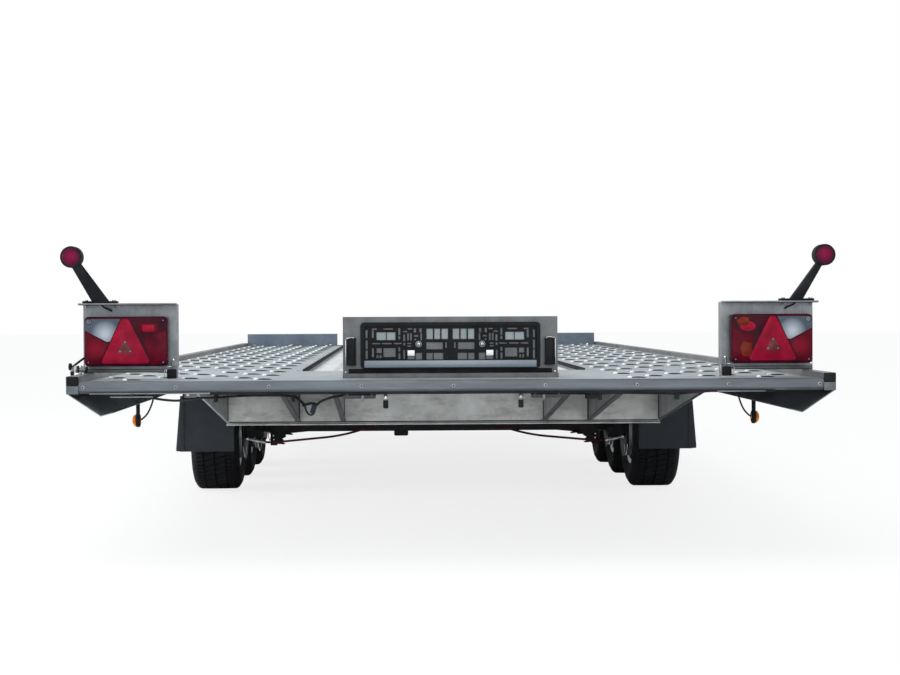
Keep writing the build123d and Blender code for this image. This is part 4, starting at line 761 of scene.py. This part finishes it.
# lamp brackets: edge of the top fold with a dark strip under it as painted shadow, and the thick lower edge
bracketEdge = dict(blocks=(((0.8275, 1.1155), (0.2340, 0.2352), (0.7520, 0.7562), 0.0004, 2, 0),
                           ((0.8295, 1.1135), (0.2360, 0.2400), (0.7498, 0.7526), 0.0, 2, 1),
                           ((0.8600, 1.1060), (0.2765, 0.2835), (0.5468, 0.5582), 0.0030, 3, 2)))
bm = bmesh.new()
addBlocks(bm, bracketEdge["blocks"])
finishPiece(bm, "bracketEdges", [zincPlate, darkPartsAndShade, zincPlateShaded])

# upright side folds of the mud flaps
flapSide = dict(outline=((1.0030, 0.400), (1.0030, 0.1795), (1.0335, 0.1810), (1.0345, 0.190), (1.0175, 0.400)),
                near=rearY + 1.9472, far=rearY + 1.9545)
bm = bmesh.new()
for side in (-1, 1):
    addPlate(bm, sideOutline(side, flapSide["outline"]), flapSide["near"], flapSide["far"], bevel=0.0004)
finishPiece(bm, "flapSides", [flapPlastic])

# under the rear bar: spring pins with their saddles, barrel bolts and handles
underBar = dict(pins=((0.0076, 0.0265, (0.196, 0.03, 0.4605), 24, 1, 0.003),
                      (0.0056, 0.010, (0.196, 0.03, 0.4790), 18, 0, 0.001),
                      (0.0079, 0.003, (0.196, 0.03, 0.4728), 24, 2, 0.0006)),
                saddles=(((0.1865, 0.2055), (0.018, 0.042), (0.4932, 0.4946), 0.0005, 2, 2),
                         ((0.1864, 0.1880), (0.020, 0.040), (0.4800, 0.4940), 0.0003, 2, 2),
                         ((0.2040, 0.2056), (0.020, 0.040), (0.4800, 0.4940), 0.0003, 2, 2)),
                barrels=((0.0068, 0.004, (0.231, 0.03, 0.483), 20, 2, 0.001),
                         (0.0068, 0.004, (0.312, 0.03, 0.483), 20, 2, 0.001)),
                handles=((0.0036, 0.018, (0.262, 0.022, 0.4785), 14, 2, 0.0006),), handleTilt=25)
bm = bmesh.new()
addRods(bm, upright, underBar["pins"])
addBlocks(bm, underBar["saddles"])
addRods(bm, turnToX, underBar["barrels"])
addRods(bm, Matrix.Rotation(radians(underBar["handleTilt"]), 4, "X"), underBar["handles"])
finishPiece(bm, "underBarFittings", [zincBright, blackPlastic, zincPlate])

# wiring under the bar: main run with its dip as X and height, clips, connector with its loop, and junction box
loom = dict(y=rearY + 0.078, z=0.473, radius=0.0036, loopRadius=0.0030,
            run=((-0.975, 0.0235), (-0.934, 0.0165), (-0.888, 0.0085), (-0.846, 0.0012), (-0.808, -0.0020),
                 (-0.774, 0.0), (-0.753, 0.0025), (-0.736, 0.0055), (-0.690, 0.0060), (-0.600, 0.0115),
                 (-0.500, 0.0110), (-0.466, 0.0085), (-0.459, 0.0070), (-0.451, 0.0010), (-0.439, -0.0100),
                 (-0.432, -0.0155), (-0.4266, -0.0150), (-0.4157, -0.0120), (-0.4048, -0.0125),
                 (-0.3966, -0.0155), (-0.3856, -0.0070), (-0.369, 0.0), (-0.347, 0.0060), (-0.300, 0.0125),
                 (-0.200, 0.0165), (0.000, 0.0165), (0.200, 0.0165), (0.400, 0.0120), (0.520, 0.0135),
                 (0.600, 0.0115), (0.659, 0.0100), (0.720, 0.0150), (0.800, 0.0200)),
            clipsAt=(-0.690, -0.466, 0.432, 0.659),
            clip=(((-0.0055, 0.0055), (-0.008, 0.022), (-0.0075, 0.0185), 0.002, 2, 0),),
            loop=((-0.4334, 0.4559), (-0.4307, 0.4500), (-0.4280, 0.4409), (-0.4235, 0.4326), (-0.4158, 0.4271),
                  (-0.4080, 0.4295), (-0.4040, 0.4360)),
            collar=((0.0050, 0.009, (-0.4345, -0.003, 0.4562), 14, 0, 0.0012),),
            plugAt=(-0.4062, -0.006, 0.4445), plugSize=(0.0150, 0.013, 0.0270), plugTilt=17,
            box=(((0.388, 0.432), (-0.016, 0.012), (0.4700, 0.4900), 0.003, 2, 0),))
bm = bmesh.new()
addWire(bm, smoothPath([(x, loom["y"], loom["z"] + up) for x, up in loom["run"]]), loom["radius"])
for x in loom["clipsAt"]:
    addBlocks(bm, loom["clip"], sides=(1,), start=(x, loom["y"], loom["z"]))
addWire(bm, smoothPath([(x, loom["y"] - 0.004, z) for x, z in loom["loop"]]), loom["loopRadius"])
addRods(bm, turnToX, loom["collar"], sides=(1,), start=(0, loom["y"], 0))
plugTurn = Matrix.Rotation(radians(loom["plugTilt"]), 4, "Y") @ Matrix.Diagonal((*loom["plugSize"], 1))
plugPlace = Matrix.Translation(Vector(loom["plugAt"]) + Vector((0, loom["y"], 0))) @ plugTurn
addShapedBlock(bm, lambda at: plugPlace @ at, 0.002, slot=1)
addBlocks(bm, loom["box"], sides=(1,), start=(0, loom["y"], 0))
finishPiece(bm, "wiringLoom", [cableBlack, connectorBlue], replaces=("wiring",))

# dark strip along the bar's lower edge, painted shadow, with pale lips, and the crossmember's weld lines: its lower
# fold, then where the gussets meet it
barShadowAndWelds = dict(lines=(((-0.700, 0.935), (0.0080, 0.0130), (0.4900, 0.4956), 0.0008, 2, 0),
                      ((-1.045, -0.700), (0.0065, 0.0125), (0.4932, 0.4970), 0.0008, 2, 2),
                      ((-0.985, -0.862), (0.0065, 0.0125), (0.4835, 0.4870), 0.0008, 2, 2),
                      ((0.765, 0.905), (0.0065, 0.0125), (0.4912, 0.4944), 0.0008, 2, 2),
                      ((-0.738, 0.738), (0.9945, 0.9962), (0.3495, 0.3535), 0.0005, 2, 1)),
               welds=(((0.7384, 0.7410), (0.9870, 0.9962), (0.3570, 0.4860), 0.0008, 2, 1),
                      ((0.4938, 0.4980), (0.9870, 0.9962), (0.3570, 0.4860), 0.0008, 2, 1),
                      ((0.3404, 0.3430), (0.9870, 0.9962), (0.3570, 0.4860), 0.0008, 2, 1)))
bm = bmesh.new()
addBlocks(bm, barShadowAndWelds["lines"], sides=(1,))
addBlocks(bm, barShadowAndWelds["welds"])
finishPiece(bm, "barShadowAndWelds", [blackRubber, zincGusset, zincPlate])

# end caps of the side profiles and plugs of the brackets' tubes; then the profiles' closed ends
railEnd = dict(caps=(((1.0740, 1.1100), (0, 0.0085), (0.518, 0.545), 0.0040, 4, 0),
                     ((1.0740, 1.1100), (5.9915, 6.0), (0.518, 0.545), 0.0040, 4, 0),
                     ((0.8265, 0.8555), (0.2625, 0.2697), (0.5278, 0.5568), 0.0030, 3, 0)),
               closed=(((1.0744, 1.1090), (0.0010, 0.0034), (0.4940, 0.5176), 0.0006, 2, 0),))
bm = bmesh.new()
addBlocks(bm, railEnd["caps"])
finishPiece(bm, "endCaps", [blackPlastic], replaces=("end_caps",))
bm = bmesh.new()
addBlocks(bm, railEnd["closed"])
finishPiece(bm, "railEnds", [zincBar])
print("stage: rear end fittings")

# brake gear at each wheel, placed from its axle: metal cable ends, return springs, toothed shock plates,
# the swinging arm's bolt and the hanger's
brakeGear = dict(cable=((0.7845, -0.075, 0.2115), (0.770, -0.076, 0.2085), (0.735, -0.078, 0.2010),
                        (0.700, -0.0795, 0.1950)), cableRadius=0.0068,
                 springs=((0.783, 0.133, 0.180), (0.722, 0.162, 0.194)), springY=-0.105, springRadius=0.0017,
                 springBend=((-0.0065, 1.0), (-0.0045, 0.5), (-0.001, 0.05), (0.001, 0.05), (0.0045, 0.5),
                             (0.0065, 1.0)),
                 plate=((0.692, 0.170), (0.692, 0.262), (0.596, 0.262), (0.612, 0.248), (0.598, 0.242),
                        (0.588, 0.236), (0.618, 0.226), (0.630, 0.212), (0.626, 0.206), (0.642, 0.198),
                        (0.634, 0.190), (0.646, 0.184), (0.628, 0.178), (0.636, 0.174), (0.662, 0.176),
                        (0.664, 0.170)), plateNear=0.094, plateFar=0.099,
                 plateBolts=((0.0036, 0.005, (0.680, 0.092, 0.212), 14, 0, 0.0008),
                             (0.0036, 0.005, (0.678, 0.092, 0.195), 14, 0, 0.0008)),
                 bolts=((0.0092, 0.016, (0.776, -0.0755, 0.2098), 20, 0, 0.0015),
                        (0.015, 0.012, (0.7525, 0.15, 0.267), 6, 0, 0.0015),
                        (0.010, 0.012, (0.700, 0.05, 0.326), 6, 0, 0.001),
                        (0.010, 0.012, (0.700, 0.25, 0.326), 6, 0, 0.001)),
                 equaliser=(((-0.172, -0.112), (0.112, 0.152), (0.206, 0.230), 0.007, 3, 1),))
bm = bmesh.new()
for axleY in trailer["axleY"]:
    for side in (-1, 1):
        addWire(bm, sidePath(side, brakeGear["cable"], axleY), brakeGear["cableRadius"], sides=14)
        for x, low, high in brakeGear["springs"]:
            points = [(side * (x + across), axleY + brakeGear["springY"], low + (high - low) * up)
                      for across, up in brakeGear["springBend"]]
            addWire(bm, points, brakeGear["springRadius"], sides=8)
        addPlate(bm, sideOutline(side, brakeGear["plate"]), axleY + brakeGear["plateNear"],
                 axleY + brakeGear["plateFar"], slot=1, bevel=0.0006)
    addRods(bm, turnToY, brakeGear["plateBolts"], start=(0, axleY, 0))
    addRods(bm, turnToX, brakeGear["bolts"], start=(0, axleY, 0))
addBlocks(bm, brakeGear["equaliser"], sides=(1,), start=(0, trailer["axleY"][0], 0))
finishPiece(bm, "brakeGear", [zincBright, axleBlack])

# folded lower flanges of the rear gussets, dark as painted shade: X, width and the left one's slot, pale there as a
# painted highlight
gussetFlange = dict(places=((0.743, 0.0050, 1), (0.500, 0.0165, 0), (0.345, 0.0165, 0)), thick=0.0060,
                    rear=(rearY + 0.0600, 0.4918), front=(rearY + 0.9962, 0.3500), bevel=0.0008)


def flangeCorner(middle, wide, at):
    y, z = gussetFlange["front" if at.y > 0 else "rear"]
    return middle + at.x * wide, y, z + (gussetFlange["thick"] if at.z > 0 else 0)


bm = bmesh.new()
for side in (-1, 1):
    for x, wide, leftLitSlot in gussetFlange["places"]:
        addShapedBlock(bm, lambda at: flangeCorner(side * x, wide, at), gussetFlange["bevel"],
                       slot=leftLitSlot if side < 0 else 0)
finishPiece(bm, "gussetFlanges", [zincGusset, zincLouvre])

# mud flaps' fixings: washers, bolts and the strip behind them
flapFixing = dict(boltsAt=(0.835, 0.913, 0.985), y=1.950, z=0.405,
                  bolt=((0.010, 0.002, (0, -0.001, 0), 22, 0, 0.0006), (0.0065, 0.006, (0, -0.004, 0), 6, 0, 0.0008)),
                  strip=(((0.812, 1.000), (1.9475, 1.9497), (0.393, 0.418), 0.0006, 2, 1),))
bm = bmesh.new()
for side in (-1, 1):
    for x in flapFixing["boltsAt"]:
        addRods(bm, turnToY, flapFixing["bolt"], sides=(1,),
                start=(side * x, rearY + flapFixing["y"], flapFixing["z"]))
addBlocks(bm, flapFixing["strip"])
finishPiece(bm, "flapFixings", [zincBright, zincPlate])

# bolts of the frame: along the rails, the crossmembers' ends, the wheel stops and the plate holder
frameBolt = dict(places=(0.16, 1.0, 1.56, 2.58, 3.166, 3.84, 4.5, 5.16, 5.7),
                 rail=((0.010, 0.002, (1.111, 0, 0.5115), 20, 0, 0.0005),
                       (0.0072, 0.006, (1.1145, 0, 0.5115), 6, 0, 0.0008)),
                 deckAt=(0.505, 0.74, 1.045), deck=((0.0075, 0.0022, (0, 0, 0.0008), 18, 0, 0.0008),),
                 stopsAt=(0.56, 0.80, 1.03), stopY=5.878,
                 stop=((0.0075, 0.006, (0, 0, 0.006), 6, 0, 0.0008), (0.011, 0.0016, (0, 0, 0.0048), 20, 0, 0.0004)),
                 holder=((0.0065, 0.006, (0.30, 0.277, 0.5350), 6, 0, 0.0008),
                         (0.0030, 0.004, (0.318, 0.278, 0.5445), 14, 0, 0.0008)))
bm = bmesh.new()
deckBolts = [(x, place, frameBolt["deck"]) for place in frameBolt["places"][1:] for x in frameBolt["deckAt"]]
deckBolts += [(x, frameBolt["stopY"], frameBolt["stop"]) for x in frameBolt["stopsAt"]]
for place in frameBolt["places"]:
    addRods(bm, turnToX, frameBolt["rail"], start=(0, rearY + place, 0))
for x, place, rods in deckBolts:
    for side in (-1, 1):
        addRods(bm, upright, rods, sides=(1,), start=(side * x, rearY + place, deckTop))
addRods(bm, turnToY, frameBolt["holder"])
finishPiece(bm, "frameBolts", [zincBright])
print("stage: running gear and frame fittings")

# drawbar: grips of the parking brake, the coupling handle and the jockey's crank; then the bolts
grips = dict(lever=((0.013, 0.090, (-0.050, 6.817, 0.6350), 22, 0, 0.004),), leverTilt=21,
             coupling=(((-0.013, 0.013), (7.212, 7.262), (0.5020, 0.5180), 0.004, 3, 0),),
             crank=((0.0125, 0.050, (0.162, 6.50, 0.6690), 24, 0, 0.004),))
bm = bmesh.new()
addRods(bm, Matrix.Rotation(radians(grips["leverTilt"]), 4, "X"), grips["lever"], sides=(1,))
addBlocks(bm, grips["coupling"], sides=(1,))
addRods(bm, upright, grips["crank"], sides=(1,))
finishPiece(bm, "handGrips", [blackRubber])
drawbarBolt = dict(unit=[(0.010, 0.010, (0.04922, y, 0.4160), 6, 0, 0.001) for y in (6.82, 6.90, 7.02)],
                   clamp=((0.009, 0.010, (0.304, 6.46, 0.4205), 6, 0, 0.001),
                          (0.009, 0.010, (0.304, 6.54, 0.4205), 6, 0, 0.001),
                          (0.008, 0.060, (0.314, 6.50, 0.4205), 18, 0, 0.001)),
                   clampBar=(((0.338, 0.346), (6.494, 6.506), (0.385, 0.456), 0.003, 2, 0),),
                   below=[(0.011, 0.010, (0.06, y, 0.3645), 6, 0, 0.001) for y in (6.72, 6.90)])
bm = bmesh.new()
addRods(bm, turnToX, drawbarBolt["unit"])
addRods(bm, turnToX, drawbarBolt["clamp"], sides=(1,))
addBlocks(bm, drawbarBolt["clampBar"], sides=(1,))
addRods(bm, upright, drawbarBolt["below"])
finishPiece(bm, "drawbarBolts", [zincBright])

# jockey wheel: axle nuts, treaded tyre and the disc inside it
caster = dict(middle=(0.262, rearY + 6.458, 0.1), treads=30,
              nuts=((0.012, 0.008, (0.044, 0, 0), 6, 0, 0.001),),
              tread=(((-0.016, 0.016), (-0.0016, 0.0016), (0.0970, 0.0996), 0.0, 2, 0),),
              disc=((0.060, 0.0316, (0, 0, 0), 40, 1, 0.001),))
bm = bmesh.new()
addRods(bm, turnToX, caster["nuts"], start=caster["middle"])
finishPiece(bm, "casterNuts", [zincBright], body="jockey_caster")
bm = bmesh.new()
for index in range(caster["treads"]):
    addBlocks(bm, caster["tread"], sides=(1,), start=caster["middle"])
    bmesh.ops.rotate(bm, verts=bm.verts[-8:], cent=caster["middle"],
                     matrix=Matrix.Rotation(2 * pi * index / caster["treads"], 3, "X"))
addRods(bm, turnToX, caster["disc"], sides=(1,), start=caster["middle"])
finishPiece(bm, "casterTread", [blackRubber, zincBright], body="jockey_roller")
print("stage: drawbar fittings")

# floor: matt white, a little lit for the camera
studio = dict(floorHalf=60.0, floorLit=0.8, skyStrength=0.9)
bm = bmesh.new()
bmesh.ops.create_grid(bm, x_segments=2, y_segments=2, size=studio["floorHalf"])
floorMesh = bpy.data.meshes.new("studioFloor")
bm.to_mesh(floorMesh)
bm.free()
floor = bpy.data.objects.new("studioFloor", floorMesh)
bpy.context.scene.collection.objects.link(floor)
floorMaterial, nodes, links, shader = newMaterial("studioFloorPaint")
shader.inputs["Base Color"].default_value = (0.97, 0.97, 0.97, 1)
shader.inputs["Roughness"].default_value = 0.9
shader.inputs["Specular IOR Level"].default_value = 0.0
path = nodes.new("ShaderNodeLightPath")
white = nodes.new("ShaderNodeEmission")
white.inputs["Color"].default_value = (1, 1, 1, 1)
white.inputs["Strength"].default_value = 1.0
share = nodes.new("ShaderNodeMix")
share.inputs["A"].default_value = 0.0
share.inputs["B"].default_value = studio["floorLit"]
links.new(path.outputs["Is Camera Ray"], share.inputs["Factor"])
blendFloor = nodes.new("ShaderNodeMixShader")
links.new(share.outputs["Result"], blendFloor.inputs["Fac"])
links.new(shader.outputs["BSDF"], blendFloor.inputs[1])
links.new(white.outputs["Emission"], blendFloor.inputs[2])
links.new(blendFloor.outputs["Shader"], nodes["Material Output"].inputs["Surface"])
floorMesh.materials.append(floorMaterial)

# sky: pale blue light, but white to the camera, in reflections and through glass
world = bpy.data.worlds.new("studioSky")
bpy.context.scene.world = world
world.use_nodes = True
nodes, links = world.node_tree.nodes, world.node_tree.links
sky = nodes["Background"]
sky.inputs["Color"].default_value = (0.94, 0.97, 1.0, 1)
sky.inputs["Strength"].default_value = studio["skyStrength"]
seen = nodes.new("ShaderNodeBackground")
seen.inputs["Color"].default_value = (1, 1, 1, 1)
seen.inputs["Strength"].default_value = 1.0
path = nodes.new("ShaderNodeLightPath")
seenBy = path.outputs["Is Camera Ray"]
for ray in ("Is Glossy Ray", "Is Transmission Ray"):
    either = nodes.new("ShaderNodeMath")
    either.operation = "MAXIMUM"
    links.new(seenBy, either.inputs[0])
    links.new(path.outputs[ray], either.inputs[1])
    seenBy = either.outputs[0]
mixSky = nodes.new("ShaderNodeMixShader")
links.new(seenBy, mixSky.inputs["Fac"])
links.new(sky.outputs["Background"], mixSky.inputs[1])
links.new(seen.outputs["Background"], mixSky.inputs[2])
links.new(mixSky.outputs["Shader"], nodes["World Output"].inputs["Surface"])

# light panels: name, energy, size, place, aim
panels = (("overheadPanel", 120.0, 6.0, (-2.5, -2.5, 6.0), (0, -0.5, 0.5)),
          ("rearPanel", 150.0, 4.5, (0.3, -10.5, 1.3), (0, -3.4, 0.45)),
          ("leftPanel", 260.0, 3.0, (-7.0, -3.2, 1.7), (0.6, -2.6, 0.5)))
for name, energy, size, place, aim in panels:
    lamp = bpy.data.lights.new(name, "AREA")
    lamp.energy = energy
    lamp.size = size
    lampObject = bpy.data.objects.new(name, lamp)
    lampObject.location = place
    lampObject.rotation_euler = (Vector(aim) - Vector(place)).to_track_quat("-Z", "Y").to_euler()
    bpy.context.scene.collection.objects.link(lampObject)

# camera behind the trailer, its turns in degrees
cameraView = dict(place=(-0.172, -8.800, 0.719), yaw=1.814, down=0.750, roll=-0.244, lens=71.14, sensor=36.0)
yaw, down, roll = (radians(cameraView[key]) for key in ("yaw", "down", "roll"))
ahead = Vector((sin(yaw) * cos(down), cos(yaw) * cos(down), -sin(down)))
right = Vector((cos(yaw), -sin(yaw), 0))
above = right.cross(ahead)
levelRight = right * cos(roll) + above * sin(roll)
levelUp = above * cos(roll) - right * sin(roll)
turned = Matrix((levelRight, levelUp, -ahead)).transposed().to_4x4()
turned.translation = cameraView["place"]
cameraData = bpy.data.cameras.new("rearCamera")
cameraData.lens = cameraView["lens"]
cameraData.sensor_width = cameraView["sensor"]
camera = bpy.data.objects.new("rearCamera", cameraData)
camera.matrix_world = turned
bpy.context.scene.collection.objects.link(camera)
bpy.context.scene.camera = camera

bpy.context.scene.view_settings.view_transform = "Standard"
print("stage: done")
